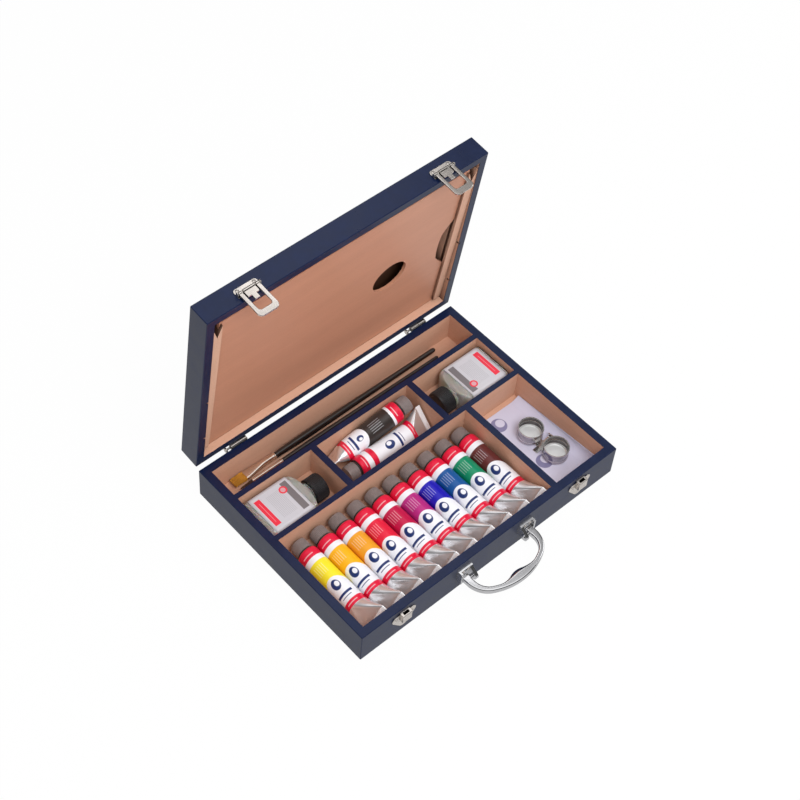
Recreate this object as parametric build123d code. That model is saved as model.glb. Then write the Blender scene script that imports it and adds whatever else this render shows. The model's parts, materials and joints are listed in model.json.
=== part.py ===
from build123d import *
import os
from math import atan2, cos, pi, radians, sin

# A hinged wooden paint box, open, with its palette, tubes, bottles, brushes and dipper.
# Millimetres. The origin is the middle of the box's underside, +X to the right, +Y to the
# back and +Z up. The lid's pieces are drawn closed, then turned open about the hinge line.

# Box
WIDTH = 390.0
DEPTH = 280.0
BASE_HEIGHT = 45.0
LID_HEIGHT = 28.0
WALL = 10.5
FLOOR_THICK = 4.0
PANEL_THICK = 3.5
EDGE_EASE = 1.0
LID_GAP = 0.3              # between the two rims when the lid is shut
REST_GAP = 0.3             # under and beside what only lies in the box
LID_ANGLE = 83.5           # how far the lid stands open

# Dividers and the clear sizes of the bays they make
LONG_DIVIDER = 6.7
SHORT_DIVIDER = 8.5
BRUSH_BAY = 40.5
BOTTLE_BAY = 64.3
LEFT_BOTTLE_BAY = 106.5
RIGHT_BOTTLE_BAY = 106.0
TUBE_BAY = 283.0

# Small screws
SCREW_RADIUS = 1.2
SCREW_HEAD_RADIUS = 2.3
SCREW_HEAD_HEIGHT = 0.9
SCREW_LENGTH = 5.0
SCREW_CLEARANCE = 0.05
LATCH_SCREW_X = 11.0       # from a latch's middle
LATCH_SCREW_DROP = 3.2     # below the top of its plate
LEAF_SCREW_INSET = 5.0     # from the end of a hinge leaf
BRACKET_SCREW_DROP = 3.8   # below the top of a bracket

# Hinges
HINGE_X = 139.0            # from the middle to each hinge's centre line
HINGE_BEHIND = 3.3         # axis behind the back wall
HINGE_BELOW_RIM = 1.0
LEAF_WIDTH = 30.4
LEAF_HEIGHT = 17.0
LEAF_THICK = 1.3
KNUCKLE_RADIUS = 3.0
KNUCKLE_LENGTH = 11.3
STUB_LENGTH = 2.0
HINGE_PIN_RADIUS = 1.2
HINGE_CLEARANCE = 0.08
HINGE_END_PLAY = 0.2

# Latches
LATCH_X = 135.0
CATCH_LOBE_X = 11.5
CATCH_LOBE_Z = 31.0
CATCH_LOBE_RADIUS = 5.5
CATCH_FOOT_Z = 18.6
CATCH_FOOT_RADIUS = 7.0
CATCH_THICK = 1.2
CATCH_BOX_WIDTH = 13.0
CATCH_BOX_BOTTOM = 27.2
CATCH_BOX_TOP = 40.0
CATCH_BOX_PROUD = 7.0
CATCH_SLOT = (8.0, 3.6, 6.0)   # along X, along Y, deep
LATCH_PLATE_WIDTH = 30.0
LATCH_PLATE_LOW = 5.5      # heights above the lid's rim
LATCH_PLATE_HIGH = 17.0
LATCH_PLATE_CORNER = 3.5
LATCH_PIVOT_HEIGHT = 9.0
LATCH_PIVOT_OUT = 3.6
LATCH_PIN_RADIUS = 1.0
LATCH_CLEARANCE = 0.06
LATCH_SIDE_PLAY = 0.3
LUG_THICK = 1.2
LEVER_WIDTH = 27.0
LEVER_ARM = 4.8
LEVER_THICK = 2.2
LATCH_BARREL_RADIUS = 2.1
LEVER_WINDOW_END = 19.4    # below the lid's rim
LEVER_END = 27.0
LEVER_CORNER = 6.0
HOOK_WIDTH = 14.6
HOOK_THICK = 2.0
HOOK_LOW = 0.0
NIB_END = 6.3
NIB_WIDTH = 6.0

# Carrying handle
HANDLE_Z = 25.0
HANDLE_OUT = 10.0          # pivot in front of the front wall
BRACKET_LOW = 19.5
BRACKET_HIGH = 38.0
BRACKET_THICK = 4.5
BRACKET_RETURN = 2.5
BRACKET_RETURN_PROUD = 3.5
BRACKET_EAR_DROP = 2.0     # of the ear's root below the top of the plate
EAR_OUTER = 41.1           # from the middle to the ear's outer face
EAR_THICK = 4.0
EAR_RADIUS = 5.3
HANDLE_PIN_RADIUS = 1.8
HANDLE_PIN_HEAD = (3.2, 1.2)   # radius, height
HANDLE_PIN_STOP = 2.0      # from its end to the outside of the leg
HANDLE_CLEARANCE = 0.08
HANDLE_SIDE_PLAY = 0.4
BAIL_HALF_WIDTH = 54.0
BAIL_LEG = 8.7             # width of a leg at the pivot
BAIL_REACH = 39.3          # from the pivot line to the front of the grip
BAIL_THICK = 7.5
BAIL_GRIP = 6.0            # width of the grip beside its swell
BAIL_GRIP_RADIUS = 81.9    # of the grip's front
BAIL_SHOULDER_TURN = 62.4  # from a leg round to the grip
BAIL_EDGE = 1.8
SWELL_POINTS = ((32.0, 28.6), (23.0, 29.2), (14.0, 27.4), (0.0, 24.4))
SWELL_SLOPE = 0.44         # fall of its upper face, per millimetre inwards
SWELL_START = 2.0          # from the band's inner face into the band
BAIL_HEEL = 5.1            # from the pivot back to the stop on the bracket
BAIL_HEEL_CHAMFER = 2.6

# Palette and the laths that hold it
PALETTE_WIDTH = 350.0
PALETTE_THICK = 3.5
PALETTE_FRONT_GAP = 9.5    # room to slide towards the lid's front wall
PALETTE_DEPTH_FRONT = 4.3  # of its face below the rim, at its front and back edges
PALETTE_DEPTH_BACK = 10.3
THUMB_X = 80.5
THUMB_FROM_FRONT = 145.5
THUMB_SEMI_X = 24.7
THUMB_SEMI_Y = 22.2
NOTCH_FROM_FRONT = 148.0
NOTCH_HALF = 45.0
NOTCH_DEEP = 19.5
NOTCH_FLAT = 22.0          # half the nearly straight run at its bottom
NOTCH_FLAT_RISE = 2.0
NOTCH_CORNER = (8.0, 9.0)  # a point of its round corner, in from the edge and the end
LATH_WIDTH = 12.0
LATH_LIP = 3.4
LATH_FROM_FRONT = 22.0
LATH_END_GAP = 4.5
LATH_NOTCH = 18.0
GROOVE_DEEP = 2.8
GROOVE_PLAY = 0.3
RIM_NOTCHES = (155.0, 227.0)   # from the front
RIM_NOTCH_SIZE = (2.5, 3.0, 4.5)

# Paint tubes
TUBE_RADIUS = 13.0
TUBE_LENGTH = 133.5
SHORT_TUBE_LENGTH = 124.0
TUBE_COUNT = 10
TUBE_PITCH = 27.0
TUBE_RIGHT_GAP = 2.7       # last tube to the divider beside it
TUBE_FROM_FRONT = 13.5
TAIL_LENGTH = 30.0
CRIMP_HEIGHT = 6.0
CRIMP_THICK = 1.8
TAIL_STEPS = 4
TAIL_SPREAD = 1.4          # above 1, the tail narrows soonest near the crimp
ROW_CRIMP_TILT = 52.0
SHOULDER_LENGTH = 3.2
CAP_LENGTH = 15.0
CAP_RADIUS = 10.4
CAP_FLUTES = 20
CAP_FLUTE_DEEP = 0.5
CAP_CHAMFER = 0.6
COLLAR_RADIUS = 9.6
COLLAR_LENGTH = 0.8
NECK_RADIUS = 5.5
NECK_LENGTH = 9.0
CAP_PLAY = 0.2

# The white and the black tube in the middle bay
WHITE_FROM_BAY_END = 2.5
WHITE_TILT = 45.0
WHITE_GAP = 0.5            # between the two tubes
BLACK_TAIL_GAP = 6.0
BLACK_SWING = 2.5          # how far its cap end stands off the divider
BLACK_RISE = 24.6          # of its cap end above its tail
BLACK_TILT = 50.0
BLACK_TAIL_HEIGHT = 9.5    # of its axis above the bay's floor at the tail
BLACK_CRIMP_SHIFT = 2.0

# Bottles
BOTTLE_WIDTH = 58.0
BOTTLE_THICK = 33.5
BOTTLE_CORNER = 7.0
BOTTLE_BODY = 59.5
BOTTLE_SHOULDER = 9.5
BOTTLE_SHOULDER_RINGS = (   # share of its height, width, thickness and corner radius
    (0.0, BOTTLE_WIDTH, BOTTLE_THICK, BOTTLE_CORNER), (0.5, 46.4, 31.8, 11.2), (1.0, 28.7, 26.1, 11.6))
BOTTLE_FOOT_CHAMFER = 1.5
BOTTLE_COLLAR = 4.5
BOTTLE_COLLAR_RADIUS = 14.5
BOTTLE_NECK_RADIUS = 11.0
BOTTLE_CAP_RADIUS = 16.0
BOTTLE_CAP_LENGTH = 18.5
BOTTLE_CAP_WALL = 2.0
BOTTLE_CAP_FLUTES = 30
BOTTLE_CAP_CHAMFER = 1.0
LEFT_BOTTLE_GAP = 4.0      # from the side wall
RIGHT_BOTTLE_GAP = 1.7

# Brushes
FLAT_BRUSH_START = 33.0    # hair tips, from the box's left
FLAT_BRUSH_Y = 18.5        # axis from the box's back
FLAT_BRUSH_LENGTH = 321.0
FLAT_HANDLE_RADIUS = 5.0
FLAT_TUFT = (12.0, 4.0)
ROUND_BRUSH_START = 36.0
ROUND_BRUSH_Y = 29.0
ROUND_BRUSH_LENGTH = 314.0
ROUND_HANDLE_RADIUS = 3.6
ROUND_TUFT_RADIUS = 2.4
BRUSH_NECK = 0.78          # shares of the handle's fullest radius
BRUSH_BELLY = 0.95
BRUSH_TAPER = 0.912
BRUSH_END = 0.65
BRUSH_BELLY_AT = 0.1       # shares of its length
BRUSH_TAPER_AT = 0.28
FERRULE_NECK = 0.82
FERRULE_WAIST = 0.35
FERRULE_BEAD = 0.25
FERRULE_BEAD_ENDS = (0.6, 2.4, 3.0)
FERRULE_LENGTH = 45.0
TUFT_LENGTH = 18.0
TUFT_ROOT = 1.0
STRAND_FILL = 0.72         # of a strand's share of the tuft, at its root
FLAT_STRANDS = (32, 7)     # along and across the tuft
FLAT_TIP = (0.97, 0.5, 0.45)   # shares left at the tip: width, thickness, hair size
FLAT_RAGGED = 0.9          # how far the hairs' tips differ
ROUND_STRAND_RINGS = 6
ROUND_TIP = 0.35           # share of the radius left at the tip
ROUND_FALL = 0.35          # how far the outer hairs' tips lie back

# Dipper and leaflet
CUP_RADIUS = 15.5
CUP_HEIGHT = 17.0
CUP_WALL = 0.8
CUP_SPACING = 38.9
CUP_FROM_RIGHT = 39.0      # middle of the pair, from the box's right side
CUP_FROM_FRONT = 75.5
DIPPER_TURN = 5.3
STRIP_WIDTH = 12.0
STRIP_PAST = 6.0           # its ends past the cups' middles
CUP_FOOT_CHAMFER = 1.2
CLIP_WIDTH = 7.0
CLIP_THICK = 1.0
CLIP_REACH = 14.0
CLIP_ROLL = 3.6
LEAFLET_THICK = 0.5
LEAFLET_FRONT_GAP = 1.5
LEAFLET_LENGTH = 132.5
LEAFLET_CURL_FRONT = (11.0, 90.0, 6.0)  # radius, turn and straight end along the wall
LEAFLET_CURL_BACK = (20.0, 40.0, 0.5)

# Sizes that follow
INNER_X = WIDTH / 2 - WALL
INNER_Y = DEPTH / 2 - WALL
RIM = BASE_HEIGHT + LID_GAP
LID_TOP = RIM + LID_HEIGHT
FRONT_FACE = -DEPTH / 2
BACK_FACE = DEPTH / 2
HINGE_Y = BACK_FACE + HINGE_BEHIND
HINGE_Z = BASE_HEIGHT - HINGE_BELOW_RIM
REAR_DIVIDER_Y = INNER_Y - BRUSH_BAY - LONG_DIVIDER
MIDDLE_DIVIDER_Y = REAR_DIVIDER_Y - BOTTLE_BAY - LONG_DIVIDER
BAY_FLOOR = FLOOR_THICK + REST_GAP
PIVOT_Y = FRONT_FACE - HANDLE_OUT
HINGE_LINE = Axis((0, HINGE_Y, HINGE_Z), (-1, 0, 0))


def block(x, y, z):
    """A box that fills three ranges."""
    size = [abs(b - a) for a, b in (x, y, z)]
    centre = [(a + b) / 2 for a, b in (x, y, z)]
    return Pos(*centre) * Box(*size)


def rod(start, direction, length, radius):
    """A cylinder from a point along a direction."""
    return Plane(origin=start, z_dir=direction) * Cylinder(
        radius, length, align=(Align.CENTER, Align.CENTER, Align.MIN))


def opened(shape):
    """Turn a lid piece from shut to where the lid stands."""
    return shape.rotate(HINGE_LINE, LID_ANGLE)


def along(start, direction):
    """A plane whose z runs along a direction and whose y is as upright as it can be."""
    d = Vector(*direction).normalized()
    return Plane(origin=start, x_dir=Vector(0, 0, 1).cross(d), z_dir=d)


def facing(side):
    """A sketch plane on the front (-1) or back (+1) wall, drawn in X and Z."""
    return Plane(origin=(0, side * DEPTH / 2, 0), x_dir=(-side, 0, 0), z_dir=(0, side, 0))


def eased(body, z_low, z_high):
    """Round the edges that lie on the box's outside."""
    def outside(edge):
        c = edge.center()
        planes = (abs(abs(c.X) - WIDTH / 2), abs(abs(c.Y) - DEPTH / 2),
                  min(abs(c.Z - z_low), abs(c.Z - z_high)))
        return sum(p < 0.001 for p in planes) >= 2
    return fillet(body.edges().filter_by(outside), EDGE_EASE)


# Wooden boxes

def plate(z_low, thick):
    """Floor or lid panel, let half-way into the walls."""
    reach_x, reach_y = WIDTH / 2 - WALL / 2, DEPTH / 2 - WALL / 2
    return block((-reach_x, reach_x), (-reach_y, reach_y), (z_low, z_low + thick))


def long_wall(side, z_low, z_high, let_in):
    """Front or back wall, full width, rebated at its ends for the side walls."""
    face, inner = side * DEPTH / 2, side * INNER_Y
    wall = block((-WIDTH / 2, WIDTH / 2), (inner, face), (z_low, z_high))
    for end in (-1, 1):
        wall -= block((end * INNER_X, end * WIDTH / 2), (inner, face - side * WALL / 2),
                      (z_low, z_high))
    return eased(wall - let_in, z_low, z_high)


def side_wall(side, z_low, z_high, let_in):
    """Left or right wall, seated in the rebates of the long walls."""
    reach = DEPTH / 2 - WALL / 2
    wall = block((side * INNER_X, side * WIDTH / 2), (-reach, reach), (z_low, z_high))
    return eased(wall - let_in, z_low, z_high)


def lid_side_wall(side):
    """A lid side wall with two small notches in its inner rim."""
    wall = side_wall(side, RIM, LID_TOP, plate(LID_TOP - PANEL_THICK, PANEL_THICK))
    deep, wide, down = RIM_NOTCH_SIZE
    for from_front in RIM_NOTCHES:
        y = FRONT_FACE + from_front
        wall -= block((side * INNER_X, side * (INNER_X + deep)), (y - wide / 2, y + wide / 2),
                      (RIM, RIM + down))
    return wall


def dividers():
    """Two dividers across the box and three short ones, flush with the rim."""
    z = (FLOOR_THICK, BASE_HEIGHT)
    rear_front = REAR_DIVIDER_Y
    middle_back = MIDDLE_DIVIDER_Y + LONG_DIVIDER
    left_x = -INNER_X + LEFT_BOTTLE_BAY
    right_x = INNER_X - RIGHT_BOTTLE_BAY
    front_x = -INNER_X + TUBE_BAY
    return {
        "rear_divider": block((-INNER_X, INNER_X), (rear_front, rear_front + LONG_DIVIDER), z),
        "middle_divider": block((-INNER_X, INNER_X), (MIDDLE_DIVIDER_Y, middle_back), z),
        "divider_left": block((left_x, left_x + SHORT_DIVIDER), (middle_back, rear_front), z),
        "divider_right": block((right_x - SHORT_DIVIDER, right_x), (middle_back, rear_front), z),
        "divider_front": block((front_x, front_x + SHORT_DIVIDER), (-INNER_Y, MIDDLE_DIVIDER_Y), z),
    }


# Screws

def base_screw_spots():
    """Screws in the base: (point on the metal they hold, outward direction)."""
    spots = []
    for centre in (-LATCH_X, LATCH_X):
        for lobe in (-CATCH_LOBE_X, CATCH_LOBE_X):
            spots.append(((centre + lobe, FRONT_FACE - CATCH_THICK, CATCH_LOBE_Z), (0, -1, 0)))
    bracket_middle = (EAR_OUTER + BAIL_HALF_WIDTH) / 2
    spread = bracket_middle - EAR_OUTER - SCREW_HEAD_RADIUS
    for side in (-1, 1):
        for offset in (-spread, spread):
            x = side * (bracket_middle + offset)
            z = BRACKET_HIGH - BRACKET_SCREW_DROP
            spots.append(((x, FRONT_FACE - BRACKET_THICK, z), (0, -1, 0)))
    return spots + leaf_screw_spots(HINGE_Z - LEAF_HEIGHT + LEAF_SCREW_INSET)


def lid_screw_spots():
    """Screws in the lid, as it is drawn shut."""
    spots = []
    for centre in (-LATCH_X, LATCH_X):
        for lobe in (-LATCH_SCREW_X, LATCH_SCREW_X):
            z = RIM + LATCH_PLATE_HIGH - LATCH_SCREW_DROP
            spots.append(((centre + lobe, FRONT_FACE - CATCH_THICK, z), (0, -1, 0)))
    return spots + leaf_screw_spots(HINGE_Z + LEAF_HEIGHT - LEAF_SCREW_INSET)


def leaf_screw_spots(z):
    """Two screws in each hinge leaf."""
    return [((centre + offset, BACK_FACE + LEAF_THICK, z), (0, 1, 0))
            for centre in (-HINGE_X, HINGE_X) for offset in (-LEAF_WIDTH / 4, LEAF_WIDTH / 4)]


def screws(spots):
    """Round-headed screws, each a separate solid."""
    made = []
    for point, out in spots:
        inward = tuple(-c for c in out)
        head = rod(point, out, SCREW_HEAD_HEIGHT, SCREW_HEAD_RADIUS)
        head = chamfer(head.edges().group_by(Axis(point, out))[-1], SCREW_HEAD_HEIGHT / 2)
        made.append(head + rod(point, inward, SCREW_LENGTH, SCREW_RADIUS))
    return made


def drilled(shape, spots):
    """Cut the screws' holes in a wall or in the metal on it."""
    for point, out in spots:
        inward = tuple(-c for c in out)
        shape -= rod(point, inward, SCREW_LENGTH + SCREW_CLEARANCE, SCREW_RADIUS + SCREW_CLEARANCE)
    return shape


def near(spots, x, reach):
    return [s for s in spots if abs(s[0][0] - x) < reach]


# Hinges

def knuckle(x_low, x_high, bore):
    tube = rod((x_low, HINGE_Y, HINGE_Z), (1, 0, 0), x_high - x_low, KNUCKLE_RADIUS)
    return tube - rod((x_low, HINGE_Y, HINGE_Z), (1, 0, 0), x_high - x_low, bore)


def hinge_spans(centre):
    """X ranges of the stub, the lid's knuckle and the base's knuckle."""
    left = centre - LEAF_WIDTH / 2
    right = centre + LEAF_WIDTH / 2
    stub = (left, left + STUB_LENGTH)
    base = (right - KNUCKLE_LENGTH, right)
    lid = (base[0] - HINGE_END_PLAY - KNUCKLE_LENGTH, base[0] - HINGE_END_PLAY)
    return stub, lid, base


def base_leaf(centre, spots):
    """A leaf on the back wall with a knuckle at its right and a stub at its left."""
    stub, _, base = hinge_spans(centre)
    half = LEAF_WIDTH / 2
    leaf = block((centre - half, centre + half), (BACK_FACE, BACK_FACE + LEAF_THICK),
                 (HINGE_Z - LEAF_HEIGHT, HINGE_Z - KNUCKLE_RADIUS))
    for span in (stub, base):
        leaf += block(span, (BACK_FACE, BACK_FACE + LEAF_THICK),
                      (HINGE_Z - KNUCKLE_RADIUS, HINGE_Z))
        leaf += knuckle(*span, HINGE_PIN_RADIUS + HINGE_CLEARANCE)
    leaf -= rod((stub[0], HINGE_Y, HINGE_Z), (1, 0, 0), LEAF_WIDTH,
                HINGE_PIN_RADIUS + HINGE_CLEARANCE)
    return drilled(leaf, near(spots, centre, half))


def lid_leaf(centre, spots):
    """A leaf on the lid's back wall, joined to its knuckle clear of the base."""
    _, lid, _ = hinge_spans(centre)
    half = LEAF_WIDTH / 2
    leaf = block((centre - half, centre + half), (BACK_FACE, BACK_FACE + LEAF_THICK),
                 (HINGE_Z + KNUCKLE_RADIUS + REST_GAP, HINGE_Z + LEAF_HEIGHT))
    clear = BACK_FACE + LID_GAP
    leaf += block(lid, (clear, clear + LEAF_THICK),
                  (HINGE_Z, HINGE_Z + KNUCKLE_RADIUS + REST_GAP + LEAF_THICK))
    leaf += knuckle(*lid, HINGE_PIN_RADIUS + HINGE_CLEARANCE)
    leaf -= rod((lid[0], HINGE_Y, HINGE_Z), (1, 0, 0), KNUCKLE_LENGTH,
                HINGE_PIN_RADIUS + HINGE_CLEARANCE)
    return drilled(leaf, near(spots, centre, half))


def hinge_pins():
    return [rod((x - LEAF_WIDTH / 2, HINGE_Y, HINGE_Z), (1, 0, 0), LEAF_WIDTH, HINGE_PIN_RADIUS)
            for x in (-HINGE_X, HINGE_X)]


# Latches

def catch_plate(centre, spots):
    """Shield-shaped plate with a slotted box that a latch closes round."""
    on_wall = facing(-1)
    lobes = [Pos(centre + s * CATCH_LOBE_X, CATCH_LOBE_Z) * Circle(CATCH_LOBE_RADIUS)
             for s in (-1, 1)]
    foot = Pos(centre, CATCH_FOOT_Z) * Circle(CATCH_FOOT_RADIUS)
    outline = make_hull((lobes[0] + lobes[1] + foot).edges())
    catch = extrude(on_wall * outline, CATCH_THICK)
    half = CATCH_BOX_WIDTH / 2
    raised = block((centre - half, centre + half), (FRONT_FACE - CATCH_BOX_PROUD, FRONT_FACE),
                   (CATCH_BOX_BOTTOM, CATCH_BOX_TOP))
    front = raised.edges().filter_by_position(
        Axis.Y, FRONT_FACE - CATCH_BOX_PROUD - 0.01, FRONT_FACE - CATCH_BOX_PROUD + 0.01)
    catch += fillet(front, EDGE_EASE)
    long, wide, deep = CATCH_SLOT
    slot_y = FRONT_FACE - LATCH_PIVOT_OUT
    catch -= block((centre - long / 2, centre + long / 2), (slot_y - wide / 2, slot_y + wide / 2),
                   (CATCH_BOX_TOP - deep, CATCH_BOX_TOP))
    return drilled(catch, near(spots, centre, LEAF_WIDTH / 2))


def latch_axis(centre):
    """Left end of a latch's pivot pin, and the pin's length."""
    half = LEVER_WIDTH / 2 + LATCH_SIDE_PLAY + LUG_THICK
    start = (centre - half, FRONT_FACE - LATCH_PIVOT_OUT, RIM + LATCH_PIVOT_HEIGHT)
    return start, 2 * half


def latch_plate(centre, spots):
    """Plate on the lid's front wall with two lugs for the pivot pin."""
    half = LATCH_PLATE_WIDTH / 2
    low, high = RIM + LATCH_PLATE_LOW, RIM + LATCH_PLATE_HIGH
    base = block((centre - half, centre + half), (FRONT_FACE - CATCH_THICK, FRONT_FACE), (low, high))
    base = fillet(base.edges().filter_by(Axis.Y).group_by(Axis.Z)[-1], LATCH_PLATE_CORNER)
    start, length = latch_axis(centre)
    lug_radius = LATCH_PIN_RADIUS + LUG_THICK
    for x in (start[0], start[0] + length - LUG_THICK):
        lug = rod((x, start[1], start[2]), (1, 0, 0), LUG_THICK, lug_radius)
        lug += block((x, x + LUG_THICK), (start[1], FRONT_FACE - CATCH_THICK),
                     (start[2] - lug_radius, start[2] + lug_radius))
        base += lug
    base -= rod(start, (1, 0, 0), length, LATCH_PIN_RADIUS + LATCH_CLEARANCE)
    return drilled(base, near(spots, centre, half))


def latch_pin(centre):
    start, length = latch_axis(centre)
    return rod(start, (1, 0, 0), length, LATCH_PIN_RADIUS)


def latch_lever(centre):
    """U-shaped frame: two arms on the pivot pin and a bar that clears the catch's box."""
    half = LEVER_WIDTH / 2
    y = FRONT_FACE - LATCH_PIVOT_OUT
    pivot = RIM + LATCH_PIVOT_HEIGHT
    frame = block((centre - half, centre + half), (y - LEVER_THICK / 2, y + LEVER_THICK / 2),
                  (RIM - LEVER_END, pivot))
    low = frame.edges().filter_by(Axis.Y).group_by(Axis.Z)[0]
    frame = fillet(low, LEVER_CORNER)
    frame += rod((centre - half, y, pivot), (1, 0, 0), LEVER_WIDTH, LATCH_BARREL_RADIUS)
    frame -= block((centre - half + LEVER_ARM, centre + half - LEVER_ARM),
                   (y - 2 * LEVER_THICK, y + 2 * LEVER_THICK),
                   (RIM - LEVER_WINDOW_END, pivot + 2 * LATCH_BARREL_RADIUS))
    start, length = latch_axis(centre)
    frame -= rod(start, (1, 0, 0), length, LATCH_PIN_RADIUS + LATCH_CLEARANCE)
    return frame


def latch_hook(centre):
    """Sprung tongue between the arms; its nib drops into the catch's slot."""
    half = HOOK_WIDTH / 2
    y = FRONT_FACE - LATCH_PIVOT_OUT
    thick = (y - HOOK_THICK / 2, y + HOOK_THICK / 2)
    pivot = RIM + LATCH_PIVOT_HEIGHT
    tongue = block((centre - half, centre + half), thick, (RIM - HOOK_LOW, pivot))
    tongue = fillet(tongue.edges().filter_by(Axis.Y).group_by(Axis.Z)[0], 1.5)
    tongue += rod((centre - half, y, pivot), (1, 0, 0), 2 * half, LATCH_BARREL_RADIUS)
    tongue += block((centre - NIB_WIDTH / 2, centre + NIB_WIDTH / 2), thick,
                    (RIM - NIB_END, RIM + HOOK_LOW + 2.0))
    start, length = latch_axis(centre)
    return tongue - rod(start, (1, 0, 0), length, LATCH_PIN_RADIUS + LATCH_CLEARANCE)


# Carrying handle

def handle_bracket(side, spots):
    """Back plate with a round-nosed ear inside and a short return outside."""
    ear_inner = EAR_OUTER - EAR_THICK
    return_inner = BAIL_HALF_WIDTH + HANDLE_SIDE_PLAY
    outer = return_inner + BRACKET_RETURN
    plate_front = FRONT_FACE - BRACKET_THICK
    bracket = block((side * ear_inner, side * outer), (plate_front, FRONT_FACE),
                    (BRACKET_LOW, BRACKET_HIGH))
    bracket += block((side * return_inner, side * outer),
                     (plate_front - BRACKET_RETURN_PROUD, plate_front), (BRACKET_LOW, BRACKET_HIGH))
    low, high = BRACKET_LOW, BRACKET_HIGH - BRACKET_EAR_DROP
    side_plane = Plane(origin=(side * ear_inner, 0, 0), x_dir=(0, side, 0), z_dir=(side, 0, 0))
    nose = Pos(side * PIVOT_Y, HANDLE_Z) * Circle(EAR_RADIUS)
    root = Line((side * plate_front, low), (side * plate_front, high))
    ear = extrude(side_plane * make_hull(nose.edges() + root.edges()), EAR_THICK)
    bracket += ear
    hole = rod((side * (ear_inner - 1), PIVOT_Y, HANDLE_Z), (side, 0, 0), EAR_THICK + 2,
               HANDLE_PIN_RADIUS + HANDLE_CLEARANCE)
    return drilled(bracket - hole, [s for s in spots if s[0][0] * side > 0
                                    and abs(s[0][0]) < outer])


def handle_pin(side):
    """Pin through the ear into the end of the bail."""
    ear_inner = EAR_OUTER - EAR_THICK
    head_radius, head_height = HANDLE_PIN_HEAD
    pin = rod((side * ear_inner, PIVOT_Y, HANDLE_Z), (side, 0, 0),
              BAIL_HALF_WIDTH - HANDLE_PIN_STOP - ear_inner, HANDLE_PIN_RADIUS)
    head = rod((side * (ear_inner - head_height), PIVOT_Y, HANDLE_Z), (side, 0, 0),
               head_height, head_radius)
    return pin + head


def bail_line(half, grip_radius):
    """Right half of an edge of the bail: leg, shoulder and the end of the grip's arc."""
    centre = BAIL_REACH - BAIL_GRIP_RADIUS
    turn = radians(BAIL_SHOULDER_TURN)
    slope = pi / 2 - turn
    end = (grip_radius * sin(slope), centre + grip_radius * cos(slope))
    bend = (half - end[0]) / (1 - cos(turn))
    start = (half, end[1] - bend * sin(turn))
    middle = (half - bend * (1 - cos(turn / 2)), start[1] + bend * sin(turn / 2))
    return start, middle, end


def handle_bail():
    """Bail with square ends, a thin grip and a swell on the grip's inside."""
    half, leg_in = BAIL_HALF_WIDTH, BAIL_HALF_WIDTH - BAIL_LEG
    grip_in = BAIL_GRIP_RADIUS - BAIL_GRIP

    def mirrored(p):
        return (-p[0], p[1])

    edges = []
    for across, radius in ((half, BAIL_GRIP_RADIUS), (leg_in, grip_in)):
        start, middle, end = bail_line(across, radius)
        front = (0, BAIL_REACH - BAIL_GRIP_RADIUS + radius)
        edges += [Line((across, -BAIL_HEEL), start), ThreePointArc(start, middle, end),
                  ThreePointArc(end, front, mirrored(end)),
                  ThreePointArc(mirrored(end), mirrored(middle), mirrored(start)),
                  Line(mirrored(start), (-across, -BAIL_HEEL))]
    edges += [Line((side * half, -BAIL_HEEL), (side * leg_in, -BAIL_HEEL)) for side in (-1, 1)]
    top, bottom = HANDLE_Z + BAIL_THICK / 2, HANDLE_Z - BAIL_THICK / 2
    level = Plane(origin=(0, PIVOT_Y, top), x_dir=(-1, 0, 0), z_dir=(0, 0, 1))
    bail = extrude(level * make_face(Wire(edges)), -BAIL_THICK)
    heel_y = PIVOT_Y + BAIL_HEEL
    heel_edges = bail.edges().filter_by(Axis.X).filter_by_position(Axis.Y, heel_y - 0.01, heel_y + 0.01)
    bail = chamfer(heel_edges.group_by(Axis.Z)[-1], BAIL_HEEL_CHAMFER)

    def on_rim(edge):
        c = edge.center()
        level_edge = min(abs(c.Z - top), abs(c.Z - bottom)) < 0.001
        return level_edge and edge.bounding_box().min.Y < PIVOT_Y - 1
    bail = fillet(bail.edges().filter_by(on_rim), BAIL_EDGE)
    bail += grip_swell(level)
    for side in (-1, 1):
        bail -= rod((side * (leg_in - 1), PIVOT_Y, HANDLE_Z), (side, 0, 0),
                    BAIL_LEG + 1 - HANDLE_PIN_STOP, HANDLE_PIN_RADIUS + HANDLE_CLEARANCE)
    return bail


def grip_swell(level):
    """Lip inside the grip, deepest in the middle, its upper face falling inwards."""
    inside = [*SWELL_POINTS, *[(-x, y) for x, y in reversed(SWELL_POINTS[:-1])]]
    outline = Wire([Spline(*inside),
                    ThreePointArc(inside[-1], (0, BAIL_REACH - BAIL_GRIP + SWELL_START), inside[0])])
    lip = extrude(level * make_face(outline), -BAIL_THICK)
    outer, inner = BAIL_GRIP_RADIUS - BAIL_GRIP + SWELL_START, BAIL_GRIP_RADIUS / 2
    above = make_face(Polyline((outer, 0, 0), (outer, 0, BAIL_THICK), (inner, 0, BAIL_THICK),
                               (inner, 0, -(outer - inner) * SWELL_SLOPE), close=True))
    centre = Pos(0, PIVOT_Y + BAIL_GRIP_RADIUS - BAIL_REACH, HANDLE_Z + BAIL_THICK / 2)
    return lip - centre * revolve(above, Axis.Z)


# Palette

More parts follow.
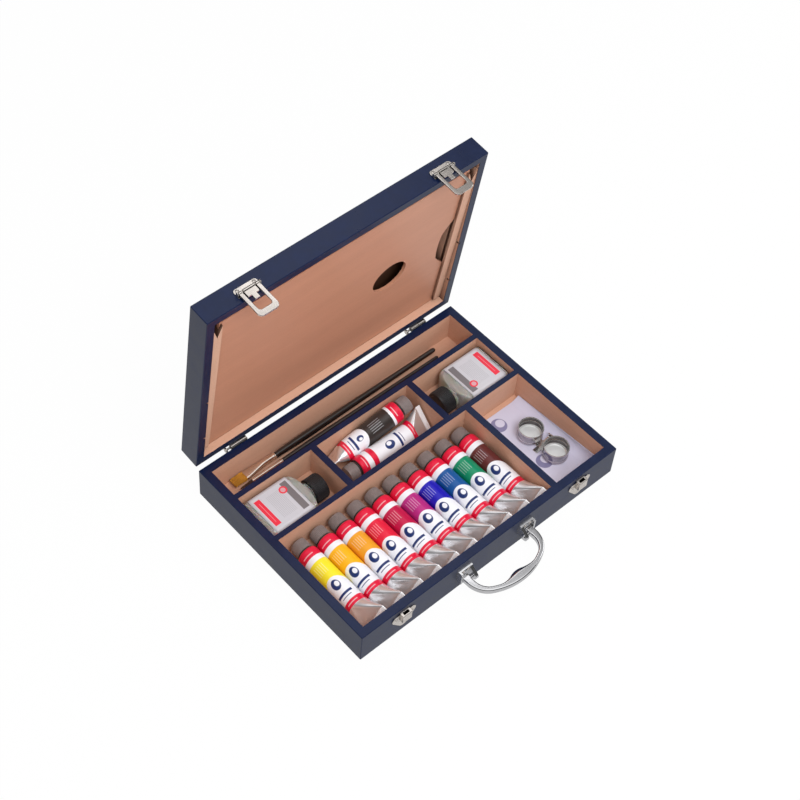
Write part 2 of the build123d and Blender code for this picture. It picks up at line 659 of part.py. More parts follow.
PALETTE_BACK_Y = INNER_Y - REST_GAP
PALETTE_FRONT_Y = -INNER_Y + PALETTE_FRONT_GAP
PALETTE_RUN = PALETTE_BACK_Y - PALETTE_FRONT_Y
PALETTE_SLOPE = atan2(PALETTE_DEPTH_BACK - PALETTE_DEPTH_FRONT, PALETTE_RUN)
PALETTE_LENGTH = PALETTE_RUN / cos(PALETTE_SLOPE) - PALETTE_THICK * sin(PALETTE_SLOPE)
PALETTE_PLANE = Plane(origin=(0, PALETTE_FRONT_Y, RIM + PALETTE_DEPTH_FRONT), x_dir=(1, 0, 0),
                      z_dir=(0, -sin(PALETTE_SLOPE), cos(PALETTE_SLOPE)))


def palette():
    """Thin board with a thumb hole and a finger notch, tilted in the lid."""
    shift = FRONT_FACE - PALETTE_FRONT_Y
    board = Pos(0, PALETTE_LENGTH / 2) * Rectangle(PALETTE_WIDTH, PALETTE_LENGTH)
    board -= Pos(THUMB_X, THUMB_FROM_FRONT + shift) * Ellipse(THUMB_SEMI_X, THUMB_SEMI_Y)
    middle = NOTCH_FROM_FRONT + shift
    edge = PALETTE_WIDTH / 2
    bite = edge - NOTCH_DEEP
    across, from_end = NOTCH_CORNER

    def points(side):
        return ((edge + 1, middle + side * NOTCH_HALF),
                (edge - across, middle + side * (NOTCH_HALF - from_end)),
                (bite + NOTCH_FLAT_RISE, middle + side * NOTCH_FLAT))
    front, back = points(-1), points(1)
    notch = make_face(Wire([
        ThreePointArc(*front),
        ThreePointArc(front[2], (bite, middle), back[2]),
        ThreePointArc(*reversed(back)),
        Line(back[0], front[0]),
    ]))
    return extrude(PALETTE_PLANE * (board - notch), PALETTE_THICK)


def lath(side):
    """Grooved lath against a lid side wall; its lip keeps the palette in."""
    inner = INNER_X - LATH_WIDTH
    y_low, y_high = FRONT_FACE + LATH_FROM_FRONT, INNER_Y - LATH_END_GAP
    bar = block((side * inner, side * INNER_X), (y_low, y_high), (RIM, LID_TOP - PANEL_THICK))
    reach = 2 * DEPTH
    in_front = Pos(side * INNER_X, 0, -LATH_LIP - LID_HEIGHT / 2) * Box(
        4 * LATH_WIDTH, reach, LID_HEIGHT)
    groove = Pos(side * inner, 0, PALETTE_THICK / 2) * Box(
        2 * GROOVE_DEEP, reach, PALETTE_THICK + GROOVE_PLAY)
    bar -= PALETTE_PLANE * in_front
    bar -= PALETTE_PLANE * groove
    x0, x1, tip = side * inner, side * INNER_X, side * (inner + INNER_X) / 2
    vee = make_face(Polyline((x0, y_low), (tip, y_low + LATH_NOTCH), (x1, y_low), close=True))
    return bar - extrude(Plane.XY.offset(RIM) * vee, LID_HEIGHT)


# Paint tubes

def fluted(radius, deep, count):
    """Outline of a ribbed cap."""
    points = []
    for i in range(2 * count):
        r = radius if i % 2 else radius - deep
        a = pi * i / count
        points.append((r * cos(a), r * sin(a)))
    return make_face(Polyline(*points, close=True))


def turned(profile):
    """Revolve a list of (radius, height) about the local z axis."""
    outline = make_face(Polyline((0, 0, profile[0][1]), *[(r, 0, z) for r, z in profile],
                                 (0, 0, profile[-1][1]), close=True))
    return revolve(outline, Axis.Z)


def paint_tube(length, tilt, crimp_x, crimp_y):
    """A tube along z: crimped flat at z = 0, round from TAIL_LENGTH up, capped at its end."""
    width = pi * TUBE_RADIUS
    crimp_at = Pos(crimp_x, crimp_y) * Rot(0, 0, tilt)
    crimp = crimp_at * Pos(0, 0, CRIMP_HEIGHT / 2) * Box(width, CRIMP_THICK, CRIMP_HEIGHT)
    sections = []
    for i in range(TAIL_STEPS + 1):
        t = i / TAIL_STEPS
        z = CRIMP_HEIGHT + (TAIL_LENGTH - CRIMP_HEIGHT) * t
        thin = CRIMP_THICK / 2 + (TUBE_RADIUS - CRIMP_THICK / 2) * sin(t * pi / 2)
        wide = TUBE_RADIUS + (width / 2 - TUBE_RADIUS) * (1 - t) ** TAIL_SPREAD
        shift = 1 - t
        sections.append(Pos(crimp_x * shift, crimp_y * shift, z) * Rot(0, 0, tilt)
                        * Ellipse(wide, thin))
    tail = loft(sections, ruled=True)
    cap_start = length - CAP_LENGTH
    shoulder = cap_start - COLLAR_LENGTH
    barrel = turned([(TUBE_RADIUS, TAIL_LENGTH), (TUBE_RADIUS, shoulder - SHOULDER_LENGTH),
                     (COLLAR_RADIUS, shoulder), (COLLAR_RADIUS, cap_start),
                     (NECK_RADIUS, cap_start), (NECK_RADIUS, cap_start + NECK_LENGTH)])
    cap = Pos(0, 0, cap_start) * extrude(fluted(CAP_RADIUS, CAP_FLUTE_DEEP, CAP_FLUTES),
                                         CAP_LENGTH)
    cap = chamfer(cap.faces().sort_by(Axis.Z)[-1].edges(), CAP_CHAMFER)
    cap -= Pos(0, 0, cap_start) * Cylinder(NECK_RADIUS + CAP_PLAY, NECK_LENGTH + CAP_PLAY,
                                           align=(Align.CENTER, Align.CENTER, Align.MIN))
    return [crimp + tail + barrel, cap]


def crimp_centre(tilt):
    """Height of a crimp's middle when its low corner rests on the floor."""
    return BAY_FLOOR + pi * TUBE_RADIUS / 2 * abs(sin(radians(tilt))) + CRIMP_THICK / 2


def row_tubes():
    """The colour tubes side by side, crimps to the front."""
    axis_z = BAY_FLOOR + TUBE_RADIUS
    last_x = -INNER_X + TUBE_BAY - TUBE_RIGHT_GAP - TUBE_RADIUS
    pieces = paint_tube(TUBE_LENGTH, -ROW_CRIMP_TILT, 0, crimp_centre(ROW_CRIMP_TILT) - axis_z)
    made = {}
    for i in range(TUBE_COUNT):
        x = last_x - (TUBE_COUNT - 1 - i) * TUBE_PITCH
        place = along((x, FRONT_FACE + TUBE_FROM_FRONT, axis_z), (0, 1, 0))
        made[f"tube_{i + 1:02d}"] = [place * p for p in pieces]
    return made


def white_tube():
    """Lies along the middle bay, its crimp against the right short divider."""
    axis_z = BAY_FLOOR + TUBE_RADIUS
    tail_x = INNER_X - RIGHT_BOTTLE_BAY - SHORT_DIVIDER - WHITE_FROM_BAY_END
    y = REAR_DIVIDER_Y - REST_GAP - 3 * TUBE_RADIUS - WHITE_GAP
    place = along((tail_x, y, axis_z), (-1, 0, 0))
    pieces = paint_tube(SHORT_TUBE_LENGTH, 180 - WHITE_TILT, 0, crimp_centre(WHITE_TILT) - axis_z)
    return [place * p for p in pieces]


def black_tube():
    """Lies behind the white one, its cap end raised on the white one's crimp."""
    tail_x = -INNER_X + LEFT_BOTTLE_BAY + SHORT_DIVIDER + BLACK_TAIL_GAP
    y = REAR_DIVIDER_Y - REST_GAP - TUBE_RADIUS
    run = SHORT_TUBE_LENGTH * cos(atan2(BLACK_RISE, SHORT_TUBE_LENGTH))
    tail_z = BAY_FLOOR + BLACK_TAIL_HEIGHT
    place = along((tail_x, y, tail_z), (run, -BLACK_SWING * run / SHORT_TUBE_LENGTH, BLACK_RISE))
    lift = crimp_centre(BLACK_TILT) - tail_z
    return [place * p for p in paint_tube(SHORT_TUBE_LENGTH, 180 - BLACK_TILT,
                                              -BLACK_CRIMP_SHIFT, lift)]


# Bottles

def bottle():
    """Flat square bottle lying down, along z, with a shoulder, collar and neck."""
    body = extrude(RectangleRounded(BOTTLE_WIDTH, BOTTLE_THICK, BOTTLE_CORNER), BOTTLE_BODY)
    body = chamfer(body.faces().sort_by(Axis.Z)[0].edges(), BOTTLE_FOOT_CHAMFER)
    shoulder = loft([Pos(0, 0, BOTTLE_BODY + share * BOTTLE_SHOULDER)
                     * RectangleRounded(across, deep, corner)
                     for share, across, deep, corner in BOTTLE_SHOULDER_RINGS], ruled=True)
    cap_start = BOTTLE_BODY + BOTTLE_SHOULDER + BOTTLE_COLLAR
    neck = turned([(BOTTLE_COLLAR_RADIUS, BOTTLE_BODY + BOTTLE_SHOULDER),
                   (BOTTLE_COLLAR_RADIUS, cap_start - REST_GAP),
                   (BOTTLE_NECK_RADIUS, cap_start - REST_GAP),
                   (BOTTLE_NECK_RADIUS, cap_start + BOTTLE_CAP_LENGTH - 2 * BOTTLE_CAP_WALL)])
    return body + shoulder + neck


def bottle_cap():
    """Deep ribbed screw cap over the neck."""
    cap_start = BOTTLE_BODY + BOTTLE_SHOULDER + BOTTLE_COLLAR
    cap = Pos(0, 0, cap_start) * extrude(
        fluted(BOTTLE_CAP_RADIUS, CAP_FLUTE_DEEP, BOTTLE_CAP_FLUTES), BOTTLE_CAP_LENGTH)
    cap = chamfer(cap.faces().sort_by(Axis.Z)[-1].edges(), BOTTLE_CAP_CHAMFER)
    return cap - Pos(0, 0, cap_start) * Cylinder(
        BOTTLE_NECK_RADIUS + REST_GAP, BOTTLE_CAP_LENGTH - BOTTLE_CAP_WALL,
        align=(Align.CENTER, Align.CENTER, Align.MIN))


def bottle_place(side):
    """Where a bottle lies: its base near a side wall, its cap towards the middle."""
    gap = LEFT_BOTTLE_GAP if side < 0 else RIGHT_BOTTLE_GAP
    y = (REAR_DIVIDER_Y + MIDDLE_DIVIDER_Y + LONG_DIVIDER) / 2
    return along((side * (INNER_X - gap), y, BAY_FLOOR + BOTTLE_THICK / 2), (-side, 0, 0))


# Brushes

def brush_handle(length, radius):
    """Long handle along z, fullest a little above the ferrule."""
    neck, end = radius * BRUSH_NECK, radius * BRUSH_END
    taper = (radius * BRUSH_TAPER, 0, length * BRUSH_TAPER_AT)
    last = length - end * 0.04
    profile = Wire([
        Line((0, 0, 0), (neck, 0, 0)),
        ThreePointArc((neck, 0, 0), (radius * BRUSH_BELLY, 0, length * BRUSH_BELLY_AT), taper),
        Line(taper, (end, 0, length - end)),
        ThreePointArc((end, 0, length - end), (end * 0.8, 0, length - end * 0.4),
                      (end * 0.28, 0, last)),
        Line((end * 0.28, 0, last), (0, 0, last)),
        Line((0, 0, last), (0, 0, 0)),
    ])
    return revolve(make_face(profile), Axis.Z)


def ferrule(handle_radius, tuft_x, tuft_y):
    """Metal sleeve, round at the handle and the tuft's shape at its mouth."""
    neck = handle_radius * FERRULE_NECK
    waist = FERRULE_LENGTH * FERRULE_WAIST
    bead, (low, high, end) = neck + FERRULE_BEAD, FERRULE_BEAD_ENDS
    rings = [(neck, 0), (bead, low), (bead, high), (neck, end), (neck, waist)]
    if tuft_x == tuft_y:
        return turned(rings + [(tuft_x, FERRULE_LENGTH)])
    sleeve = loft([Pos(0, 0, waist) * Ellipse(neck, neck),
                   Pos(0, 0, FERRULE_LENGTH) * Ellipse(tuft_x, tuft_y)], ruled=True)
    return turned(rings) + sleeve


def strand(root, tip, root_size, tip_size):
    """One four-sided hair from its root to its tip."""
    return loft([Pos(*root) * Rectangle(root_size, root_size),
                 Pos(*tip) * Rectangle(tip_size, tip_size)], ruled=True)


def flat_tuft():
    """Rows of hairs that close to a chisel edge."""
    wide, thick = FLAT_TUFT
    columns, rows = FLAT_STRANDS
    keep_x, keep_y, keep_size = FLAT_TIP
    pitch_x, pitch_y = wide / columns, thick / rows
    size = STRAND_FILL * min(pitch_x, pitch_y)
    hairs = []
    for i in range(columns):
        for j in range(rows):
            x = (i + 0.5 - columns / 2) * pitch_x
            y = (j + 0.5 - rows / 2) * pitch_y
            reach = TUFT_LENGTH - FLAT_RAGGED * ((i * 7 + j * 3) % 5) / 5
            hairs.append(strand((x, y, TUFT_ROOT), (x * keep_x, y * keep_y, reach),
                                size, size * keep_size))
    return slab_with_hairs(Rectangle(wide, thick), hairs)


def round_tuft():
    """Rings of hairs that close to a point."""
    pitch = ROUND_TUFT_RADIUS / (ROUND_STRAND_RINGS - 0.5)
    size = STRAND_FILL * pitch
    hairs = []
    for ring in range(ROUND_STRAND_RINGS):
        count = max(1, int(2 * pi * ring * 0.92))
        for k in range(count):
            a = 2 * pi * (k + 0.5 * (ring % 2)) / count
            x, y = ring * pitch * cos(a), ring * pitch * sin(a)
            reach = TUFT_LENGTH - ROUND_FALL * ring * ring / ROUND_STRAND_RINGS
            hairs.append(strand((x, y, TUFT_ROOT), (x * ROUND_TIP, y * ROUND_TIP, reach), size * 0.9,
                                size * 0.25))
    return slab_with_hairs(Circle(ROUND_TUFT_RADIUS + size / 2), hairs)


def slab_with_hairs(outline, hairs):
    """Fuse the hairs to a thin slice of their backing."""
    slab = extrude(outline, TUFT_ROOT)
    return slab.fuse(*hairs)


def brush(start_x, from_back, length, handle_radius, tuft, tuft_x, tuft_y):
    """Tuft, ferrule and handle laid along the brush bay."""
    y = BACK_FACE - from_back
    z = BAY_FLOOR + handle_radius
    hair_end = -WIDTH / 2 + start_x + TUFT_LENGTH
    ferrule_end = hair_end + FERRULE_LENGTH
    handle_length = length - TUFT_LENGTH - FERRULE_LENGTH
    to_left = (-1, 0, 0)
    return (along((hair_end, y, z), to_left) * Pos(0, 0, -TUFT_ROOT) * tuft,
            along((ferrule_end, y, z), to_left) * ferrule(handle_radius, tuft_x, tuft_y)
            - along((hair_end, y, z), to_left) * Pos(0, 0, -TUFT_ROOT) * extrude(
                Rectangle(3 * tuft_x, 3 * tuft_y), 2 * TUFT_ROOT),
            along((ferrule_end, y, z), (1, 0, 0)) * brush_handle(handle_length, handle_radius))


# Dipper and leaflet

LEAFLET_TOP = BAY_FLOOR + LEAFLET_THICK
DIPPER_PLACE = Pos(WIDTH / 2 - CUP_FROM_RIGHT, FRONT_FACE + CUP_FROM_FRONT,
                   LEAFLET_TOP + REST_GAP) * Rot(0, 0, DIPPER_TURN)


def dipper_cups():
    """Two open cups side by side."""
    cups = []
    for side in (-1, 1):
        cup = turned([(CUP_RADIUS - CUP_FOOT_CHAMFER, CLIP_THICK),
                      (CUP_RADIUS, CLIP_THICK + CUP_FOOT_CHAMFER), (CUP_RADIUS, CUP_HEIGHT)])
        cup -= Pos(0, 0, CLIP_THICK + CUP_WALL) * Cylinder(
            CUP_RADIUS - CUP_WALL, CUP_HEIGHT, align=(Align.CENTER, Align.CENTER, Align.MIN))
        cups.append(DIPPER_PLACE * Pos(0, side * CUP_SPACING / 2) * cup)
    return cups


def dipper_clip():
    """Strip under both cups with a spring leaf that rolls up between them."""
    reach = CUP_SPACING / 2 + STRIP_PAST
    strip = block((-STRIP_WIDTH / 2, STRIP_WIDTH / 2), (-reach, reach), (0, CLIP_THICK))
    x = CLIP_REACH
    roll = Wire([
        Line((-x, 0, 0), (x, 0, 0)),
        ThreePointArc((x, 0, 0), (x + CLIP_ROLL, 0, CLIP_ROLL), (x, 0, 2 * CLIP_ROLL)),
        Line((x, 0, 2 * CLIP_ROLL), (x, 0, 2 * CLIP_ROLL - CLIP_THICK)),
        ThreePointArc((x, 0, 2 * CLIP_ROLL - CLIP_THICK), (x + CLIP_ROLL - CLIP_THICK, 0, CLIP_ROLL),
                      (x, 0, CLIP_THICK)),
        Line((x, 0, CLIP_THICK), (-x, 0, CLIP_THICK)),
        Line((-x, 0, CLIP_THICK), (-x, 0, 0)),
    ])
    leaf = extrude(make_face(roll), CLIP_WIDTH / 2, both=True)
    return DIPPER_PLACE * (strip + leaf)


def leaflet():
    """Sheet under the dipper, its right edge turned up along the wall."""
    left = -INNER_X + TUBE_BAY + SHORT_DIVIDER + REST_GAP
    right = INNER_X - REST_GAP - 0.2
    y_front = -INNER_Y + LEAFLET_FRONT_GAP

    def section(y, curl):
        radius, turn, end = curl
        t, low, a = LEAFLET_THICK, BAY_FLOOR, radians(turn)
        bend = right - radius * sin(a) - end * cos(a)

        def on_curl(r, angle, past):
            return (bend + r * sin(angle) + past * cos(angle), y,
                    low + radius - r * cos(angle) + past * sin(angle))
        inner = radius - t
        return make_face(Wire([
            Line((left, y, low), on_curl(radius, 0, 0)),
            ThreePointArc(on_curl(radius, 0, 0), on_curl(radius, a / 2, 0), on_curl(radius, a, 0)),
            Line(on_curl(radius, a, 0), on_curl(radius, a, end)),
            Line(on_curl(radius, a, end), on_curl(inner, a, end)),
            Line(on_curl(inner, a, end), on_curl(inner, a, 0)),
            ThreePointArc(on_curl(inner, a, 0), on_curl(inner, a / 2, 0), on_curl(inner, 0, 0)),
            Line(on_curl(inner, 0, 0), (left, y, low + t)),
            Line((left, y, low + t), (left, y, low)),
        ]))
    return loft([section(y_front, LEAFLET_CURL_FRONT),
                 section(y_front + LEAFLET_LENGTH, LEAFLET_CURL_BACK)], ruled=True)


# The nodes

def build():
    base_spots, lid_spots = base_screw_spots(), lid_screw_spots()
    floor = plate(0, FLOOR_THICK)
    panel = plate(LID_TOP - PANEL_THICK, PANEL_THICK)
    nodes = {
        "base_front_wall": drilled(long_wall(-1, 0, BASE_HEIGHT, floor),
                                   [s for s in base_spots if s[1][1] < 0]),
        "base_back_wall": drilled(long_wall(1, 0, BASE_HEIGHT, floor),
                                  [s for s in base_spots if s[1][1] > 0]),
        "base_left_wall": side_wall(-1, 0, BASE_HEIGHT, floor),
        "base_right_wall": side_wall(1, 0, BASE_HEIGHT, floor),
        "base_floor": floor,
        **dividers(),
        "catch_plates": [catch_plate(x, base_spots) for x in (-LATCH_X, LATCH_X)],
        "handle_bracket_left": handle_bracket(-1, base_spots),
        "handle_bracket_right": handle_bracket(1, base_spots),
        "handle_pins": [handle_pin(side) for side in (-1, 1)],
        "hinge_base_leaves": [base_leaf(x, base_spots) for x in (-HINGE_X, HINGE_X)],
        "hinge_pins": hinge_pins(),
        "base_screws": screws(base_spots),
        "handle_bail": handle_bail(),
    }
    lid = {
        "lid_front_wall": drilled(long_wall(-1, RIM, LID_TOP, panel),
                                  [s for s in lid_spots if s[1][1] < 0]),
        "lid_back_wall": drilled(long_wall(1, RIM, LID_TOP, panel),
                                 [s for s in lid_spots if s[1][1] > 0]),
        "lid_left_wall": lid_side_wall(-1),
        "lid_right_wall": lid_side_wall(1),
        "lid_panel": panel,
        "lath_left": lath(-1),
        "lath_right": lath(1),
        "hinge_lid_leaves": [lid_leaf(x, lid_spots) for x in (-HINGE_X, HINGE_X)],
        "latch_plates": [latch_plate(x, lid_spots) for x in (-LATCH_X, LATCH_X)],
        "latch_pins": [latch_pin(x) for x in (-LATCH_X, LATCH_X)],
        "lid_screws": screws(lid_spots),
        "palette": palette(),
        "latch_lever_left": latch_lever(-LATCH_X),
        "latch_lever_right": latch_lever(LATCH_X),
        "latch_hook_left": latch_hook(-LATCH_X),
        "latch_hook_right": latch_hook(LATCH_X),
    }
    for name, shape in lid.items():
        pieces = shape if isinstance(shape, list) else [shape]
        nodes[name] = [opened(p) for p in pieces]
    nodes.update(row_tubes())
    nodes["tube_white"] = white_tube()
    nodes["tube_black"] = black_tube()
    for side, name in ((-1, "bottle_left"), (1, "bottle_right")):
        nodes[name] = bottle_place(side) * bottle()
        nodes[name + "_cap"] = bottle_place(side) * bottle_cap()
    wide, thick = FLAT_TUFT
    flat = brush(FLAT_BRUSH_START, FLAT_BRUSH_Y, FLAT_BRUSH_LENGTH, FLAT_HANDLE_RADIUS,
                 flat_tuft(), wide / 2 + 0.4, thick / 2 + 0.4)
    slim = brush(ROUND_BRUSH_START, ROUND_BRUSH_Y, ROUND_BRUSH_LENGTH, ROUND_HANDLE_RADIUS,
                 round_tuft(), ROUND_TUFT_RADIUS + 0.5, ROUND_TUFT_RADIUS + 0.5)
    for kind, pieces in (("flat_brush", flat), ("round_brush", slim)):
        for piece, shape in zip(("bristles", "ferrule", "handle"), pieces):
            nodes[f"{kind}_{piece}"] = shape
    nodes["dipper_cups"] = dipper_cups()
    nodes["dipper_clip"] = dipper_clip()
    nodes["leaflet"] = leaflet()
    return nodes


os.makedirs("parts", exist_ok=True)
for node, shape in build().items():
    if isinstance(shape, list):
        solids = [s for piece in shape for s in piece.solids()]
        shape = Compound(children=solids)
    export_step(shape, f"parts/{node}.step")
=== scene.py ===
import json
from collections import namedtuple
from math import atan2, copysign, cos, pi, radians, sin, sqrt

import bmesh
import bpy
from bpy.props import FloatProperty, FloatVectorProperty, IntProperty, PointerProperty
from mathutils import Matrix, Vector


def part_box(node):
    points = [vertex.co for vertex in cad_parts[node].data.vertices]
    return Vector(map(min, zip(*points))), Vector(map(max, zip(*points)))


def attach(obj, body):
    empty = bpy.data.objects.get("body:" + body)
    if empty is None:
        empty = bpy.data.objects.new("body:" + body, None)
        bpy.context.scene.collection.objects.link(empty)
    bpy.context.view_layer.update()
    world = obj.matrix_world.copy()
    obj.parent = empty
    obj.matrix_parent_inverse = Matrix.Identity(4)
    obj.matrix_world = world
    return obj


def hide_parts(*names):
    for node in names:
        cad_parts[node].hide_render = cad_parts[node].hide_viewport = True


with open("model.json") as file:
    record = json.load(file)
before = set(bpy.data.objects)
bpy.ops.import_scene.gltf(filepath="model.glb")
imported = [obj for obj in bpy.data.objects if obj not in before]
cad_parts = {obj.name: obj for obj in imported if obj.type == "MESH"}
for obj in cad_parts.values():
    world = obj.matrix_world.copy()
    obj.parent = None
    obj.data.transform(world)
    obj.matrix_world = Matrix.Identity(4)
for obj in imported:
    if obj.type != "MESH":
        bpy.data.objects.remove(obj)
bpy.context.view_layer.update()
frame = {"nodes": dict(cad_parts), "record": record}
NODES = frame["nodes"]

bl_info = {
    "name": "Wooden paint box",
    "version": (1, 0, 0),
    "blender": (4, 5, 0),
    "location": "View3D > Sidebar > Paint Box",
    "description": "Finishes and fine detail for a hinged wooden paint box",
    "category": "Add Mesh",
}

MM = 0.001

# Sizes that the box itself gives
BASE_LOW, BASE_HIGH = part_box("base_front_wall")
OUTER_X, FRONT_Y, RIM_Z = BASE_HIGH.x, BASE_LOW.y, BASE_HIGH.z
OUTER_Y = -FRONT_Y
INNER_X = OUTER_X - 10.5 * MM
BAY_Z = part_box("base_floor")[1].z + 0.3 * MM
DIVIDER = 8.5 * MM
REAR_BAY_Y = (18.0 * MM, 82.3 * MM)
LID_ANGLE = radians(83.5)
LID_RIM_Z = RIM_Z + 0.3 * MM
LID_TOP_Z = LID_RIM_Z + 28.0 * MM
HINGE = Vector((0, OUTER_Y + 3.3 * MM, RIM_Z - 1.0 * MM))

CREASE = 50.0  # degrees; sharper edges of a swept piece stay sharp
MERGE = 0.002 * MM
CAD_MERGE = 0.004 * MM


# Properties

def colour(name, text, default):
    return FloatVectorProperty(name=name, description=text, default=default, size=3, min=0.0,
                               max=1.0, subtype="COLOR")


def length(name, text, millimetres):
    return FloatProperty(name=name, description=text, default=millimetres * MM, min=0.0,
                         subtype="DISTANCE", unit="LENGTH", precision=5)


def share(name, text, default):
    return FloatProperty(name=name, description=text, default=default, min=0.0, max=1.0,
                         subtype="FACTOR")


def amount(name, text, default, unit="NONE"):
    return FloatProperty(name=name, description=text, default=default, min=0.0, unit=unit)


class WoodFinish(bpy.types.PropertyGroup):
    """Paint and bare wood of the box"""
    paint: colour("Paint", "Satin paint on the outside and on the rims", (0.0046, 0.0112, 0.044))
    beech: colour("Beech", "Bare wood of the inside", (0.605, 0.352, 0.245))
    palette: colour("Palette", "Bare wood of the palette", (0.500, 0.232, 0.145))
    fleck: colour("Fleck", "Short dark flecks in the wood", (0.30, 0.145, 0.08))
    paint_roughness: share("Paint roughness", "Roughness of the paint", 0.29)
    wood_roughness: share("Wood roughness", "Roughness of the bare wood", 0.62)


class MetalFinish(bpy.types.PropertyGroup):
    """Metals of the fittings and the dipper"""
    nickel: colour("Nickel", "Latches, hinges and screws", (0.80, 0.74, 0.69))
    chrome: colour("Chrome", "Carrying handle and its brackets", (0.74, 0.74, 0.76))
    steel: colour("Steel", "Dipper cups", (0.78, 0.77, 0.75))


class TubeLook(bpy.types.PropertyGroup):
    """Sizes and printing of the paint tubes"""
    radius: length("Radius", "Radius of a full tube", 13.0)
    row_length: length("Row length", "Length of a tube in the row", 133.5)
    short_length: length("Short length", "Length of the white and the black tube", 124.0)
    tail: length("Tail", "Length over which a tube flattens", 30.0)
    band: colour("Band", "Plain bands round a tube", (0.70, 0.008, 0.045))
    label: colour("Label", "Light ground of the printing", (0.80, 0.81, 0.86))
    ink: colour("Ink", "Plain bar on the label", (0.012, 0.03, 0.14))
    cap: colour("Cap", "Screw cap of a tube", (0.19, 0.155, 0.15))


class BottleLook(bpy.types.PropertyGroup):
    """Sizes and finish of the two bottles"""
    width: length("Width", "Width of the body", 58.0)
    thick: length("Thickness", "Thickness of the body", 33.5)
    body: length("Body", "Length of the straight body", 59.5)
    wall: length("Wall", "Thickness of the glass", 1.3)
    liquid: colour("Liquid", "Medium in the bottles", (0.70, 0.68, 0.655))
    cap: colour("Cap", "Screw cap of a bottle", (0.012, 0.012, 0.014))
    label: colour("Label", "Paper of the label", (0.56, 0.555, 0.60))
    red: colour("Red bar", "Bar near the foot of the label", (0.76, 0.03, 0.06))
    grey: colour("Grey bar", "Bar near the shoulder of the label", (0.17, 0.155, 0.165))


class BrushLook(bpy.types.PropertyGroup):
    """Hair and handles of the brushes"""
    flat_hair: colour("Flat hair", "Synthetic hair of the flat brush", (0.66, 0.29, 0.03))
    round_hair: colour("Round hair", "Hair of the round brush", (0.10, 0.05, 0.028))
    lacquer: colour("Lacquer", "Handles", (0.004, 0.0035, 0.004))
    hair_rows: IntProperty(name="Hair rows", description="Hairs across the flat brush",
                           default=44, min=4, max=120)


class PaperLook(bpy.types.PropertyGroup):
    """Leaflet under the dipper"""
    paper: colour("Paper", "Leaflet", (0.585, 0.575, 0.715))
    print: colour("Print", "Plain bars and crescents on the leaflet", (0.14, 0.13, 0.28))


class StageLook(bpy.types.PropertyGroup):
    """Floor, lamps and camera"""
    floor: colour("Floor", "Floor under the box", (0.80, 0.80, 0.80))
    key: amount("Key lamp", "Power of the large lamp", 26.0, "POWER")
    fill: amount("Fill lamp", "Power of the front lamp", 7.0, "POWER")
    panel: amount("Back panel", "Power of the panel that metal mirrors", 1.3, "POWER")
    sky: amount("Sky", "Strength of the light all round", 0.62)
    sky_mirror: amount("Sky in gloss", "Strength of the sky in reflections", 0.19)
    sky_crown: amount("Crown in gloss", "What the sky overhead adds in reflections", 1.0)
    floor_mirror: amount("Floor in gloss", "Brightness of the floor in reflections", 0.62)
    lens: FloatProperty(name="Lens", description="Focal length of the camera", default=77.763,
                        subtype="DISTANCE_CAMERA", min=10.0)


class PaintBoxSettings(bpy.types.PropertyGroup):
    """All that a user would change"""
    wood: PointerProperty(type=WoodFinish)
    metal: PointerProperty(type=MetalFinish)
    tubes: PointerProperty(type=TubeLook)
    bottles: PointerProperty(type=BottleLook)
    brushes: PointerProperty(type=BrushLook)
    paper: PointerProperty(type=PaperLook)
    stage: PointerProperty(type=StageLook)


# Node trees

def arithmetic(operation, swapped=False):
    """A method of Number that adds a math node."""
    def method(self, other=0.0):
        return self.graph.math(operation, *((other, self) if swapped else (self, other)))
    return method


class Number:
    """A number in a node tree. Arithmetic with it adds math nodes."""
    __add__ = __radd__ = arithmetic("ADD")
    __mul__ = __rmul__ = arithmetic("MULTIPLY")
    __sub__, __rsub__ = arithmetic("SUBTRACT"), arithmetic("SUBTRACT", True)
    __truediv__ = arithmetic("DIVIDE")
    __lt__, __gt__ = arithmetic("LESS_THAN"), arithmetic("GREATER_THAN")
    __abs__, root, fract = arithmetic("ABSOLUTE"), arithmetic("SQRT"), arithmetic("FRACT")
    sine, cosine, most = arithmetic("SINE"), arithmetic("COSINE"), arithmetic("MAXIMUM")

    def __init__(self, graph, socket):
        self.graph, self.socket = graph, socket


class Graph:
    """A node tree that is being put together."""

    def __init__(self, tree):
        self.tree = tree

    def link(self, value, socket):
        """Link a number or a socket to an input, or set the input to a plain value."""
        value = getattr(value, "socket", value)
        if isinstance(value, bpy.types.NodeSocket):
            self.tree.links.new(value, socket)
        elif socket.type == "RGBA":
            socket.default_value = (*value[:3], 1.0)
        else:
            socket.default_value = value

    def add(self, kind, inputs=(), **settings):
        """Add a node, a shader node where its kind is short, and fill its inputs."""
        node = self.tree.nodes.new(kind if "Node" in kind else "ShaderNode" + kind)
        for key, value in settings.items():
            setattr(node, key, value)
        for key, value in dict(inputs).items():
            self.link(value, node.inputs[key])
        return node

    def math(self, operation, a, b=0.0):
        return Number(self, self.add("Math", {0: a, 1: b}, operation=operation).outputs[0])

    def vector(self, x=0.0, y=0.0, z=0.0):
        return self.add("CombineXYZ", {0: x, 1: y, 2: z}).outputs[0]

    def stretch(self, value, from_low, from_high, to_low, to_high):
        """Map one span to another, held at both ends."""
        return Number(self, self.add("MapRange", {
            "Value": value, "From Min": from_low, "From Max": from_high, "To Min": to_low,
            "To Max": to_high}).outputs["Result"])


